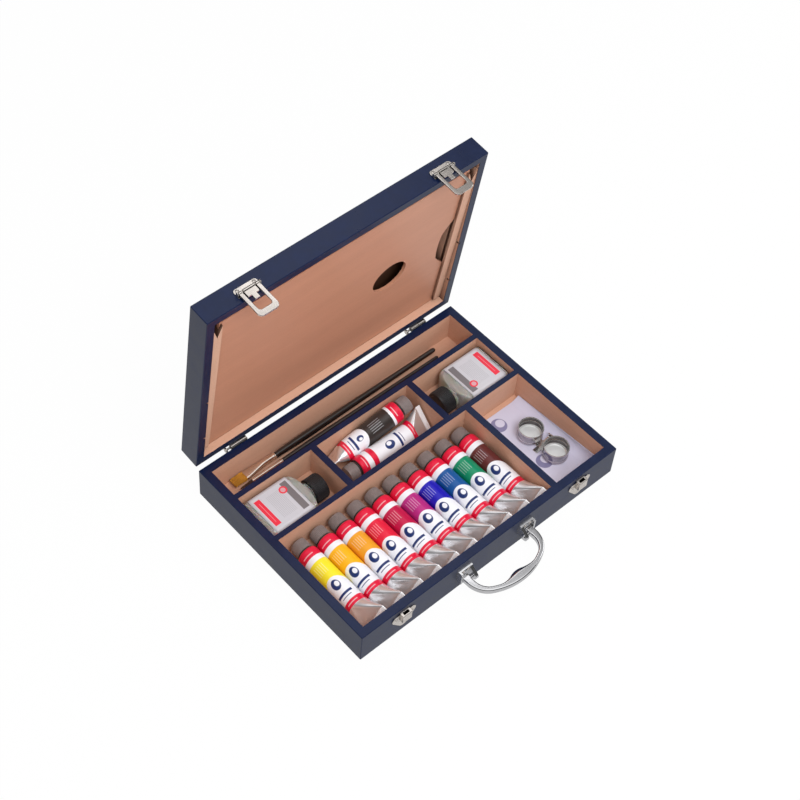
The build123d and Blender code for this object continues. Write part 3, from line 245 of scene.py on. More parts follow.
class Finish(Graph):
    """A material that is being put together."""

    def __init__(self, name, **sockets):
        self.material = bpy.data.materials.new(name)
        self.material.use_nodes = True
        super().__init__(self.material.node_tree)
        self.shader = self.tree.nodes["Principled BSDF"]
        for socket, value in sockets.items():
            self.set(socket.replace("_", " "), value)

    def set(self, socket, value):
        self.link(value, self.shader.inputs[socket])

    def ramp(self, value, low, high):
        """0 below low, 1 above high and smooth between; low may be the larger."""
        node = self.add("MapRange", {"Value": value, "From Min": low, "From Max": high},
                        interpolation_type="SMOOTHSTEP")
        return Number(self, node.outputs["Result"])

    def mix(self, factor, a, b, blend_type="MIX"):
        """Mix two colours."""
        return self.add("Mix", {0: factor, 6: a, 7: b}, data_type="RGBA",
                        blend_type=blend_type).outputs[2]

    def blend(self, factor, a, b):
        """Mix two numbers."""
        return Number(self, self.add("Mix", {0: factor, 2: a, 3: b},
                                     data_type="FLOAT").outputs[0])

    def position(self, lid=False):
        """Object coordinates, turned back to the shut lid for a piece of the lid."""
        point = self.add("TexCoord").outputs["Object"]
        if not lid:
            return point
        shift = HINGE - Matrix.Rotation(LID_ANGLE, 3, "X") @ HINGE
        return self.add("Mapping", {"Vector": point, "Location": shift,
                                    "Rotation": (LID_ANGLE, 0, 0)}).outputs[0]

    def scaled(self, vector, scale):
        return self.add("Mapping", {"Vector": vector, "Scale": scale}).outputs[0]

    def noise(self, vector, scale, detail=3.0, roughness=0.5):
        return Number(self, self.add("TexNoise", {
            "Vector": vector, "Scale": scale, "Detail": detail,
            "Roughness": roughness}).outputs["Fac"])

    def bump(self, height, distance, strength=1.0):
        self.set("Normal", self.add("Bump", {"Height": height, "Distance": distance * MM,
                                             "Strength": strength}).outputs[0])

    def split(self, vector):
        return [Number(self, axis) for axis in self.add("SeparateXYZ", {0: vector}).outputs]

    def wrap(self):
        """The numbers u and v of the mesh's own wrap."""
        return self.split(self.add("UVMap", uv_map="Wrap").outputs[0])[:2]

    def patch(self, u, v, bounds, blur):
        """1 within a rectangle (u0, u1, v0, v1), 0 outside."""
        u0, u1, v0, v1 = bounds
        across = self.ramp(u, u0 - blur, u0 + blur) * self.ramp(u, u1 + blur, u1 - blur)
        return across * self.ramp(v, v0 - blur, v0 + blur) * self.ramp(v, v1 + blur, v1 - blur)


def tinted(tone, factor, more=0.0):
    """A colour made darker or lighter."""
    return tuple(min(1.0, c * factor + more) for c in tone)


def apart(dx, dy):
    """Distance from a spot."""
    return (dx * dx + dy * dy).root()


# Materials

def grain(finish, where, along, tone, fleck, seed=0.0):
    """Beech: soft streaks and short dark flecks along one axis. Gives colour and height."""
    long_scale, short_scale = [1.0] * 3, [1500.0] * 3
    long_scale[along], short_scale[along] = 0.06, 190.0
    streak_at = finish.add("Mapping", {"Vector": where, "Scale": long_scale,
                                       "Location": (seed, seed * 0.7, seed * 1.3)}).outputs[0]
    streaks = finish.noise(streak_at, 620.0, 5.0, 0.6)
    clouds = finish.noise(streak_at, 46.0, 4.0, 0.55)
    cells = finish.add("TexVoronoi", {"Vector": finish.scaled(where, short_scale), "Scale": 1.0},
                       feature="F1")
    flecks = finish.ramp(cells.outputs["Distance"], 0.27, 0.14)
    dark = tuple(c * k for c, k in zip(tone, (0.90, 0.86, 0.82)))
    base = finish.mix(finish.ramp(clouds, 0.2, 0.8), tinted(tone, 0.96), tinted(tone, 1.06))
    base = finish.mix(finish.ramp(streaks, 0.42, 0.75) * 0.42, base, dark)
    base = finish.mix(flecks * 0.32, base, fleck)
    return base, streaks - flecks * 0.6


def shadowed(finish, tone, reach, least, low, high):
    """Painted shade: darken a colour in narrow gaps, down to a least share of it; low and high are
    openness.
    """
    closed = finish.add("AmbientOcclusion", {"Distance": reach * MM}, samples=12)
    deep = finish.mix(1.0, tone, (least, 0.8 * least, 0.7 * least), "MULTIPLY")
    return finish.mix(finish.ramp(closed.outputs["AO"], low, high), deep, tone)


def bare_wood(name, along, tone, wood, lid=False, seed=0.0, gap=None, roughness=None,
              shade=(0.3, 0.42, 0.85)):
    """Unpainted, lightly sanded beech; gap is how near its neighbours must be to darken it with
    painted shade.
    """
    finish = Finish(name, Roughness=roughness or wood.wood_roughness, Specular_IOR_Level=0.6)
    base, height = grain(finish, finish.position(lid), along, tone, wood.fleck, seed)
    finish.set("Base Color", shadowed(finish, base, gap, *shade) if gap else base)
    finish.bump(height, 0.12, 0.35)
    return finish.material


def painted_wood(name, along, wood, lid=False, seed=0.0, gap=None, open_=(0.3, 0.95)):
    """Satin paint outside and on the rims, bare wood on the faces that look inside."""
    finish = Finish(name, Specular_IOR_Level=0.36)
    where = finish.position(lid)
    x, y, z = finish.split(where)
    skin_deep, foot = 0.3 * MM, 0.4 * MM
    bleed = finish.noise(where, 260.0, 2.0) * (0.7 * MM) + 0.25 * MM
    inside = (abs(x) < OUTER_X - skin_deep) * (abs(y) < OUTER_Y - skin_deep)
    if lid:
        bare = inside * ((z - LID_RIM_Z > bleed) * (z < LID_TOP_Z - foot))
    else:
        bare = inside * ((RIM_Z - z > bleed) * (z > foot))
    bare_tone, height = grain(finish, where, along, wood.beech, wood.fleck, seed)
    # Painted shade: near its neighbours the bare wood is darkened.
    if gap:
        bare_tone = shadowed(finish, bare_tone, gap, 0.14, *open_)
    mottle = finish.noise(where, 60.0, 4.0, 0.6)
    paint_tone = finish.mix(finish.ramp(mottle, 0.35, 0.75), tinted(wood.paint, 0.93),
                            tinted(wood.paint, 1.14, 0.0006))
    finish.set("Base Color", finish.mix(bare, paint_tone, bare_tone))
    gloss = finish.blend(mottle, wood.paint_roughness - 0.06, wood.paint_roughness + 0.1)
    finish.set("Roughness", finish.blend(bare, gloss, wood.wood_roughness))
    brushed = finish.noise(where, 900.0, 2.0) * 0.35 + height * 0.35
    finish.bump(finish.blend(bare, brushed, height), 0.12, 0.3)
    return finish.material


def metal(name, tone, roughness, tarnish=0.12, plated=1.0, hollow_shade=0.22, reach=3.0,
          open_=(0.1, 0.6)):
    """Plated metal with faint smears; deep in a slot its colour is darkened as painted shade, down
    to a given share of it.
    """
    finish = Finish(name, Metallic=plated)
    smear = finish.noise(finish.position(), 110.0, 1.0, 0.4)
    base = finish.mix(finish.ramp(smear, 0.3, 0.8), tone, tinted(tone, 1 - tarnish))
    if hollow_shade < 1.0:
        # Painted shade: ambient occlusion darkens the colour in slots and corners.
        corners = finish.add("AmbientOcclusion", {"Distance": reach * MM}, samples=16)
        base = finish.mix(finish.ramp(corners.outputs["AO"], *open_), tinted(tone, hollow_shade), base)
    finish.set("Base Color", base)
    finish.set("Roughness", finish.blend(smear, roughness * 0.85, roughness * 1.2))
    return finish.material


def plastic(name, tone, roughness):
    """Moulded plastic with a faint skin and rubbed spots."""
    finish = Finish(name)
    where = finish.position()
    rub = finish.noise(where, 240.0, 4.0, 0.6)
    finish.set("Base Color", finish.mix(finish.ramp(rub, 0.4, 0.8), tone,
                                        tinted(tone, 1.2, 0.006)))
    finish.set("Roughness", finish.blend(rub, roughness - 0.06, roughness + 0.1))
    finish.bump(finish.noise(where, 2500.0, 2.0), 0.03, 0.15)
    return finish.material


# Meshes

def put_mesh(name, points, faces, materials, wraps=None, slots=None):
    """A smooth mesh object at the origin. wraps are UVs for each face's corners."""
    mesh = bpy.data.meshes.new(name)
    mesh.from_pydata([tuple(p) for p in points], [], faces)
    if wraps is not None:
        layer = mesh.uv_layers.new(name="Wrap")
        layer.data.foreach_set("uv", [c for face in wraps for uv in face for c in uv])
    for material in materials:
        mesh.materials.append(material)
    if slots is not None:
        mesh.polygons.foreach_set("material_index", slots)
    return put_object(name, mesh)


def put_object(name, mesh):
    """An object of a mesh, its faces smooth, in the scene."""
    mesh.polygons.foreach_set("use_smooth", [True] * len(mesh.polygons))
    mesh.update()
    thing = bpy.data.objects.new(name, mesh)
    bpy.context.scene.collection.objects.link(thing)
    return thing


def oval(x, y, z, steps, power=2.0):
    """A ring of points; a power above 2 squares it off."""
    turns = [2 * pi * j / steps for j in range(steps)]
    return [Vector((copysign(x * abs(cos(a)) ** (2 / power), cos(a)),
                    copysign(y * abs(sin(a)) ** (2 / power), sin(a)), z)) for a in turns]


def loft(name, rings, materials, sharp, slots=None, heights=None, shift=0.0, wrapped=True):
    """Skin rings of equal length and close both ends. slots are for each gap between rings and
    for both ends. u of the wrap goes round a ring, v by ring or by given heights."""
    count, last = len(rings[0]), len(rings) - 1
    heights = heights or [i / last for i in range(last + 1)]
    faces, wraps = [], []
    for i in range(last):
        for j in range(count):
            k = (j + 1) % count
            faces.append((i * count + j, i * count + k, (i + 1) * count + k, (i + 1) * count + j))
            u0, u1, v0, v1 = j / count, (j + 1) / count, heights[i], heights[i + 1]
            wraps.append(((u0, v0), (u1, v0), (u1, v1), (u0, v1)))
    faces += [tuple(reversed(range(count))), tuple(range(last * count, (last + 1) * count))]
    wraps += [[(j / count, heights[0]) for j in reversed(range(count))],
              [(j / count, heights[-1]) for j in range(count)]]
    wraps = [[(u - shift, v) for u, v in face] for face in wraps]
    if slots:
        slots = [slots[i] for i in range(last) for _ in range(count)] + slots[-2:]
    thing = put_mesh(name, [p for ring in rings for p in ring], faces, materials,
                     wraps if wrapped else None, slots)
    mend(thing, sharp)
    return thing


def turned(name, profile, steps, place, materials, sharp, slots=None):
    """Turn a list of (radius, height) in mm about the local z axis and put it in place."""
    rings = [[place @ p for p in oval(r * MM, r * MM, z * MM, steps)] for r, z in profile]
    return loft(name, rings, materials, sharp, slots)


def mend(thing, sharp):
    """Merge doubles, point the faces outwards and keep edges past an angle sharp."""
    work = bmesh.new()
    work.from_mesh(thing.data)
    bmesh.ops.remove_doubles(work, verts=work.verts, dist=MERGE)
    bmesh.ops.recalc_face_normals(work, faces=work.faces)
    for edge in work.edges:
        edge.smooth = len(edge.link_faces) != 2 or edge.calc_face_angle(0.0) < radians(sharp)
    work.to_mesh(thing.data)
    work.free()
    thing.data.update()


def softened(node, material, width, segments=2):
    """A copy of a CAD node with rounded edges, which stands for it."""
    mesh = NODES[node].data.copy()
    work = bmesh.new()
    work.from_mesh(mesh)
    bmesh.ops.remove_doubles(work, verts=work.verts, dist=CAD_MERGE)
    bmesh.ops.dissolve_limit(work, angle_limit=radians(1.0), verts=work.verts, edges=work.edges)
    bmesh.ops.recalc_face_normals(work, faces=work.faces)
    work.to_mesh(mesh)
    work.free()
    mesh.materials.clear()
    mesh.materials.append(material)
    mesh.polygons.foreach_set("material_index", [0] * len(mesh.polygons))
    thing = put_object(node + "_soft", mesh)
    bevel = thing.modifiers.new("Rounded edges", "BEVEL")
    bevel.width, bevel.segments = width * MM, segments
    bevel.limit_method, bevel.angle_limit = "ANGLE", radians(25.0)
    flat_faces(thing)
    stand_for(thing, node)


def flat_faces(thing):
    """Keep large faces flat between their rounded edges."""
    thing.modifiers.new("Flat faces", "WEIGHTED_NORMAL").keep_sharp = True


def stand_for(thing, node):
    """The piece rides on its node's body and takes its place."""
    record = frame["record"]
    bodies = record["behaviour"]["bodies"].items()
    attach(thing, next(body for body, members in bodies if node in members))
    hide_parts(node)


def recoat(material, *nodes):
    """Give CAD nodes a better material and keep their shape."""
    for node in nodes:
        slots = NODES[node].data.materials
        for index in range(len(slots)):
            slots[index] = material
        if not slots:
            slots.append(material)


def lying(start, direction):
    """Local z along a direction, local y as upright as it can be, local x = up x direction."""
    z = Vector(direction).normalized()
    x = Vector((0, 0, 1)).cross(z).normalized()
    turn = Matrix((x, z.cross(x), z)).transposed().to_4x4()
    turn.translation = Vector(start)
    return turn


def arc(steps, first=0):
    """Angles of a quarter turn in equal steps."""
    return [k / steps * pi / 2 for k in range(first, steps + 1)]


# Geometry nodes

class Recipe(Graph):
    """A geometry node tree that is being put together."""

    def __init__(self, name, **inputs):
        super().__init__(bpy.data.node_groups.new(name, "GeometryNodeTree"))
        face = self.tree.interface
        face.new_socket("Geometry", in_out="INPUT", socket_type="NodeSocketGeometry")
        self.identifiers = {}
        for label, default in (*inputs.items(), ("Material", None)):
            label = label.replace("_", " ")
            kind = {float: "Float", int: "Int"}.get(type(default), "Material")
            socket = face.new_socket(label, in_out="INPUT", socket_type="NodeSocket" + kind)
            if default is not None:
                socket.default_value = default
            self.identifiers[label] = socket.identifier
        face.new_socket("Geometry", in_out="OUTPUT", socket_type="NodeSocketGeometry")
        self.start = self.tree.nodes.new("NodeGroupInput")
        self.end = self.tree.nodes.new("NodeGroupOutput")

    def given(self, *labels):
        numbers = [Number(self, self.start.outputs[label]) for label in labels]
        return numbers if len(labels) > 1 else numbers[0]

    def shape(self, kind, inputs, **settings):
        """Add a geometry node and give its geometry."""
        return self.add("GeometryNode" + kind, inputs, **settings).outputs[0]

    def join(self, parts):
        whole = self.add("GeometryNodeJoinGeometry")
        for part in parts:
            self.tree.links.new(part, whole.inputs[0])
        return whole.outputs[0]

    def facing(self, vector, axis, **settings):
        return self.add("FunctionNodeAlignRotationToVector", {"Vector": vector}, axis=axis,
                        **settings).outputs[0]

    def attribute(self, name):
        """A vector that the points bring along."""
        return self.add("GeometryNodeInputNamedAttribute", {"Name": name},
                        data_type="FLOAT_VECTOR").outputs[0]

    def close(self, geometry):
        """Realize the instances, set the material and end the tree."""
        real = self.shape("RealizeInstances", {0: geometry})
        done = self.shape("SetMaterial", {"Geometry": real, "Material": self.given("Material")})
        self.tree.links.new(done, self.end.inputs[0])
        return self

    def grow(self, name, start_mesh, sharp=35.0, **values):
        """Run the tree on a mesh and give the result as a plain object."""
        seedling = bpy.data.objects.new(name + "_seed", start_mesh)
        bpy.context.scene.collection.objects.link(seedling)
        modifier = seedling.modifiers.new("Recipe", "NODES")
        modifier.node_group = self.tree
        for label, value in values.items():
            modifier[self.identifiers[label.replace("_", " ")]] = value
        bpy.context.view_layer.update()
        graph = bpy.context.evaluated_depsgraph_get()
        mesh = bpy.data.meshes.new_from_object(seedling.evaluated_get(graph))
        bpy.data.objects.remove(seedling)
        thing = put_object(name, mesh)
        mend(thing, sharp)
        return thing


def point_mesh(name, points, **attributes):
    """A mesh of loose points with one vector attribute each."""
    mesh = bpy.data.meshes.new(name)
    mesh.from_pydata([tuple(p) for p in points], [], [])
    for label, values in attributes.items():
        layer = mesh.attributes.new(label, "FLOAT_VECTOR", "POINT")
        layer.data.foreach_set("vector", [c for v in values for c in v])
    return mesh


def ribbed_cap_recipe():
    """A screw cap: a turned body with small ribs set round it. Its open end is at z = 0."""
    recipe = Recipe("Ribbed cap", Radius=0.01, Length=0.015, Rib_Count=32, Rib_Depth=0.0004,
                    Rib_Length=0.012, Ease=0.0008)
    radius, high, count, depth, rib_long, ease = recipe.given(
        "Radius", "Length", "Rib Count", "Rib Depth", "Rib Length", "Ease")
    core = radius - depth
    inner, low, top, sunk = core - ease, ease * 0.5, high - ease, high - ease * 0.5
    line = [(0.0, 0.0), (inner, 0.0), (core, low), (core, top),
            (core - ease * 0.3, high - ease * 0.3), (inner, high), (inner * 0.84, high),
            (inner * 0.80, sunk), (0.0, sunk)]
    rings = [recipe.shape("Transform", {
        "Geometry": recipe.shape("MeshCone", {
            "Vertices": 96, "Side Segments": 1, "Radius Bottom": ax, "Radius Top": bx,
            "Depth": bz - az}, fill_type="NONE"),
        "Translation": recipe.vector(z=az)}) for (ax, az), (bx, bz) in zip(line, line[1:])]
    body = recipe.join(rings)
    spokes = recipe.shape("MeshCircle", {"Vertices": count, "Radius": core}, fill_type="NONE")
    rib = recipe.shape("MeshCylinder", {"Vertices": 8, "Side Segments": 1, "Radius": 0.5,
                                        "Depth": rib_long}, fill_type="TRIANGLE_FAN")
    wide = core * (2 * pi) / count * 0.52
    shaped = recipe.shape("Transform", {
        "Geometry": rib, "Scale": recipe.vector(depth * 2.0, wide, 1.0),
        "Translation": recipe.vector(z=low + rib_long * 0.5)})
    outwards = recipe.facing(recipe.shape("InputPosition", {}), "X", pivot_axis="Z")
    ribs = recipe.shape("InstanceOnPoints", {"Points": spokes, "Instance": shaped,
                                             "Rotation": outwards})
    return recipe.close(recipe.join([ribs, body]))


def screw_recipe():
    """Round-headed screws with a crossed slot, one on each point, facing its Out vector."""
    recipe = Recipe("Crossed screws", Head_Radius=0.0023, Head_Height=0.0009, Slot=0.00045,
                    Seed=7)
    radius, high, slot, seed = recipe.given("Head Radius", "Head Height", "Slot", "Seed")
    ball = recipe.shape("MeshUVSphere", {"Segments": 28, "Rings": 14, "Radius": 1.0})
    head = recipe.shape("Transform", {"Geometry": ball,
                                      "Scale": recipe.vector(radius, radius, high)})
    cut = recipe.add("GeometryNodeMeshBoolean", {"Mesh 1": head}, operation="DIFFERENCE",
                     solver="EXACT")
    long = radius * 1.15
    for across, along in ((slot, long), (long, slot)):
        bar = recipe.shape("MeshCube", {"Size": recipe.vector(across, along, high)})
        raised = recipe.shape("Transform", {"Geometry": bar, "Translation": recipe.vector(z=high)})
        recipe.tree.links.new(raised, cut.inputs["Mesh 2"])
    twist = recipe.add("FunctionNodeRandomValue", {"Max": 3.1, "Seed": seed}, data_type="FLOAT")
    about = recipe.add("FunctionNodeAxisAngleToRotation", {
        "Axis": (0.0, 0.0, 1.0), "Angle": twist.outputs["Value"]}).outputs[0]
    spin = recipe.add("FunctionNodeRotateRotation", {
        "Rotation": recipe.facing(recipe.attribute("Out"), "Z"), "Rotate By": about},
        rotation_space="LOCAL").outputs[0]
    return recipe.close(recipe.shape("InstanceOnPoints", {
        "Points": recipe.given("Geometry"), "Instance": cut.outputs[0], "Rotation": spin}))


def hair_recipe():
    """Tapered hairs, one on each root point, leaning along its Lean vector."""
    recipe = Recipe("Brush hair", Hair_Radius=0.00012, Tip_Share=0.35, Seed=11)
    radius, tip, seed = recipe.given("Hair Radius", "Tip Share", "Seed")
    cone = recipe.shape("MeshCone", {
        "Vertices": 5, "Side Segments": 4, "Radius Top": radius * tip,
        "Radius Bottom": radius, "Depth": 1.0}, fill_type="NGON")
    lean = recipe.attribute("Lean")
    long = recipe.add("VectorMath", {0: lean}, operation="LENGTH").outputs["Value"]
    vary = recipe.add("FunctionNodeRandomValue", {2: 0.95, 3: 1.0, "Seed": seed},
                      data_type="FLOAT").outputs[1]
    return recipe.close(recipe.shape("InstanceOnPoints", {
        "Points": recipe.given("Geometry"), "Instance": cone,
        "Rotation": recipe.facing(lean, "Z"),
        "Scale": recipe.vector(1.0, 1.0, recipe.math("MULTIPLY", long, vary))}))


# Pieces

class PAINTBOX_OT_woodwork(bpy.types.Operator):
    """Paint the box outside and finish its bare wood"""
    bl_idname = "paintbox.woodwork"
    bl_label = "Woodwork"

    def execute(self, context):
        wood = context.scene.paint_box.wood
        for lid, prefix in ((False, "base"), (True, "lid")):
            recoat(painted_wood(f"painted_{prefix}_long", 0, wood, lid, 0.3),
                   f"{prefix}_front_wall", f"{prefix}_back_wall")
        recoat(painted_wood("painted_base_side", 1, wood, False, 1.7),
               "base_left_wall", "base_right_wall")
        # Painted shade: the lid's ends and panel darken behind the palette, so its hole and notch
        # look dark.
        recoat(painted_wood("painted_lid_end", 1, wood, True, 1.7, 60.0, (0.25, 0.6)),
               "lid_left_wall", "lid_right_wall")
        recoat(painted_wood("painted_panel", 0, wood, True, 3.1, 60.0, (0.5, 0.98)), "lid_panel")
        recoat(bare_wood("bare_floor", 0, wood.beech, wood, False, 2.3), "base_floor")
        recoat(painted_wood("divider_long", 0, wood, False, 4.1), "rear_divider",
               "middle_divider")
        recoat(painted_wood("divider_short", 1, wood, False, 5.9), "divider_left",
               "divider_right", "divider_front")
        # Painted shade: the laths and the palette darken along the gaps between them.
        recoat(bare_wood("bare_lath", 1, wood.beech, wood, True, 6.3, 16.0,
                         shade=(0.12, 0.4, 0.8)), "lath_left", "lath_right")
        recoat(bare_wood("bare_palette", 0, wood.palette, wood, True, 7.7, 4.0, 0.4), "palette")
        return {"FINISHED"}


class PAINTBOX_OT_fittings(bpy.types.Operator):
    """Round the edges of the latches, hinges and brackets"""
    bl_idname = "paintbox.fittings"
    bl_label = "Latches and hinges"

    def execute(self, context):
        look = context.scene.paint_box.metal
        # Painted shade: deep in the plates' slots the nickel is darkened to near black.
        nickel = metal("nickel_plate", look.nickel, 0.22, plated=0.92, hollow_shade=0.02,
                       reach=8.0, open_=(0.3, 0.72))
        lever = metal("nickel_lever", look.nickel, 0.16, plated=0.97, hollow_shade=1.0)
        chrome = metal("chrome_bracket", look.chrome, 0.14, plated=0.95, hollow_shade=1.0)
        for node in ("catch_plates", "latch_plates", "hinge_base_leaves", "hinge_lid_leaves"):
            softened(node, nickel, 0.3)
        for side in ("left", "right"):
            latch_frame(f"latch_lever_{side}", lever)
            softened(f"latch_hook_{side}", lever, 0.4)
        for side in ("left", "right"):
            softened(f"handle_bracket_{side}", chrome, 0.6, segments=3)
        recoat(lever, "latch_pins")
        recoat(nickel, "hinge_pins")
        recoat(chrome, "handle_pins")
        return {"FINISHED"}


def latch_frame(node, material):
    """A latch's pressed frame: a rounded band with barrels at its pin."""
    low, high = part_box(node)
    middle = (low.x + high.x) / 2 / MM
    y, rim = FRONT_Y / MM - 3.6, RIM_Z / MM
    pivot, foot, window = rim + 9.0, rim - 27.0, rim - 19.4
    half, arm, corner, inner_corner, barrel, sheet = 13.5, 4.8, 6.0, 3.4, 2.1, 1.1
    heights = [pivot + up for up in (barrel, 1.9, 1.3, 0.4, -0.6, -1.5, -2.0, -4.0)]
    heights += [rim - 4.0, rim - 12.0]
    outer = [(half, z) for z in heights]
    inner = [(half - arm, z) for z in heights]
    for a in arc(12):
        outer.append((half - corner + corner * cos(a), foot + corner - corner * sin(a)))
        inner.append((half - arm - inner_corner + inner_corner * cos(a),
                      window + inner_corner - inner_corner * sin(a)))
    place = (Matrix.Translation(HINGE) @ Matrix.Rotation(-LID_ANGLE, 4, "X")
             @ Matrix.Translation(-HINGE))
    rings = []
    for (ax, az), (bx, bz) in zip(mirrored(outer), mirrored(inner)):
        away = Vector((bx - ax, bz - az))
        round_pin = barrel ** 2 - (az - pivot) ** 2
        thick = max(sheet, sqrt(max(round_pin, 0.0)))
        if az > pivot + 1.8:
            thick = sqrt(max(round_pin, 0.01))
        outline = rounded_band(away.length, thick, min(0.75, 0.6 * thick))
        away.normalize()
        rings.append([place @ Vector(((middle + ax + away.x * u) * MM, (y + v) * MM,
                                      (az + away.y * u) * MM)) for u, v in outline])
    thing = loft(node + "_pressed", rings, [material], CREASE)
    flat_faces(thing)
    stand_for(thing, node)


def mirrored(line):
    """A line of (x, y) with its mirror image."""
    return line + [(-x, y) for x, y in reversed(line)]


def rounded_band(wide, half, ease):
    """Outline of a band seen along itself, its four corners rounded."""
    outline = []
    for quarter, (x, z) in enumerate(((wide - ease, half - ease), (ease, half - ease),
                                      (ease, ease - half), (wide - ease, ease - half))):
        for a in arc(4):
            a += quarter * pi / 2
            outline.append((x + ease * cos(a), z + ease * sin(a)))
    return outline


class PAINTBOX_OT_screws(bpy.types.Operator):
    """Set crossed round-headed screws where the box has its screws"""
    bl_idname = "paintbox.screws"
    bl_label = "Screws"

    def execute(self, context):
        # Painted shade: the screw metal darkens in the crossed slots of the heads.
        steel = metal("screw_metal", context.scene.paint_box.metal.nickel, 0.28, tarnish=0.2,
                      plated=0.8)
        recipe = screw_recipe()
        for node, lid in (("base_screws", False), ("lid_screws", True)):
            spots, outs = zip(*screw_spots(node, lid))
            thing = recipe.grow(node + "_heads", point_mesh(node + "_points", spots, Out=outs),
                                Head_Radius=2.3 * MM, Head_Height=0.9 * MM, Slot=0.45 * MM,
                                Seed=7, Material=steel)
            stand_for(thing, node)
        return {"FINISHED"}


def screw_spots(node, lid):
    """Where each screw's head sits on the metal and which way it faces."""
    work = bmesh.new()
    work.from_mesh(NODES[node].data)
    bmesh.ops.remove_doubles(work, verts=work.verts, dist=CAD_MERGE)
    away = Matrix.Rotation(-LID_ANGLE, 3, "X") if lid else Matrix.Identity(3)
    back, head = away.inverted(), 0.9 * MM
    seen, spots = set(), []
    for start in work.verts:
        if start.index in seen:
            continue
        shut, queue = [], [start]
        seen.add(start.index)
        while queue:
            vert = queue.pop()
            shut.append(back @ (vert.co - HINGE) + HINGE)
            for edge in vert.link_edges:
                other = edge.other_vert(vert)
                if other.index not in seen:
                    seen.add(other.index)
                    queue.append(other)
        (low_x, high_x), (low_y, high_y), (low_z, high_z) = (
            (min(p[axis] for p in shut), max(p[axis] for p in shut)) for axis in range(3))
        side = -1 if low_y < 0 else 1
        face = low_y + head if side < 0 else high_y - head
        spot = Vector(((low_x + high_x) / 2, face, (low_z + high_z) / 2))
        spots.append((away @ (spot - HINGE) + HINGE, away @ Vector((0, side, 0))))
    work.free()
    return spots


class PAINTBOX_OT_handle(bpy.types.Operator):
    """Sweep the carrying handle with its swelling grip"""
    bl_idname = "paintbox.handle"
    bl_label = "Carrying handle"

    def execute(self, context):
        chrome = metal("chrome_handle", context.scene.paint_box.metal.chrome, 0.1, hollow_shade=1.0)
        pivot = Vector((0, FRONT_Y - 10.0 * MM, 25.0 * MM))
        grip_half, deepest = 27.0, 8.2
        rings = []
        for a, b in zip(bail_line(54.0, 81.9), bail_line(45.3, 75.9)):
            across = Vector(b) - Vector(a)
            fall = cos(pi / 2 * min(abs(b[0]) / grip_half, 1.0)) ** 1.8
            section = bail_section(across.length, deepest * fall if b[1] > 20 else 0.0,
                                   0.55 if b[1] < 2 else 1.0)
            across.normalize()
            spots = [(Vector(a) + across * inwards, up) for inwards, up in section]
            rings.append([pivot + Vector((q.x, -q.y, up)) * MM for q, up in spots])
        thing = loft("handle_bail_swept", rings, [chrome], CREASE)
        flat_faces(thing)
        stand_for(thing, "handle_bail")
        return {"FINISHED"}


def bail_line(half, grip_radius):
    """One edge of the bail as stations, leg to leg, in (across, in front of the pivot)."""
    turn, centre, leg_end = radians(62.4), 39.3 - 81.9, -5.1
    end = (grip_radius * cos(turn), centre + grip_radius * sin(turn))
    bend = (half - end[0]) / (1 - cos(turn))
    low = end[1] - bend * sin(turn)
    right = [(half, leg_end + (low - leg_end) * k / 4) for k in range(4)]
    right += [(half - bend * (1 - cos(turn * k / 20)), low + bend * sin(turn * k / 20))
              for k in range(20)]
    right += [(grip_radius * sin(a), centre + grip_radius * cos(a))
              for a in ((pi / 2 - turn) * (1 - k / 36) for k in range(36))]
    return right + [(0.0, centre + grip_radius)] + [(-x, y) for x, y in reversed(right)]


def bail_section(wide, swell, ends):
    """Outline of the bail across itself: a band with a lip that falls inwards."""
    half = 3.75
    corners = ((0.0, half, 2.0 * ends), (wide + 0.5 * swell, half, 1.8 * ends),
               (wide + swell, 0.0, 1.3), (wide + swell, -half, 1.5 * ends),
               (0.0, -half, 1.9 * ends))
    outline = []
    for k, (x, z, ease) in enumerate(corners):
        spot = Vector((x, z))
        before, after = Vector(corners[k - 1][:2]), Vector(corners[(k + 1) % 5][:2])
        start = spot + (before - spot).normalized() * ease
        end = spot + (after - spot).normalized() * ease
        outline += [(1 - t) ** 2 * start + 2 * t * (1 - t) * spot + t * t * end
                    for t in (step / 6 for step in range(7))]
    return outline


# Where the printing of a tube starts and stops, in mm from its crimp: the first ground's start,
# the arch of the paint's colour and its bulge, the grounds past it, the foil's end, the middles
# of the crescent and of the bar, the crescent's size, the fine print and the two plain lines
Style = namedtuple("Style", "foot arch grounds foil dot bar size text plain")
STYLES = {
    "row": Style(38.0, (60.0, 12.0), ((97.5, "label"), (104.5, "band")), 30.5, 61.5, 47.5, 5.4,
                 (80.0, 93.0), (109.0, 34.3)),
    "white": Style(30.5, None, ((84.0, "band"), (91.0, "label"), (98.0, "band")), 24.0, 62.0,
                   48.0, 5.2, None, (101.3, 27.3)),
    "black": Style(31.0, (49.0, 9.0), ((93.0, "label"), (96.5, "band")), 24.0, 48.0, 39.0, 3.6,
                   (64.0, 80.0), (100.3, 27.6)),
}


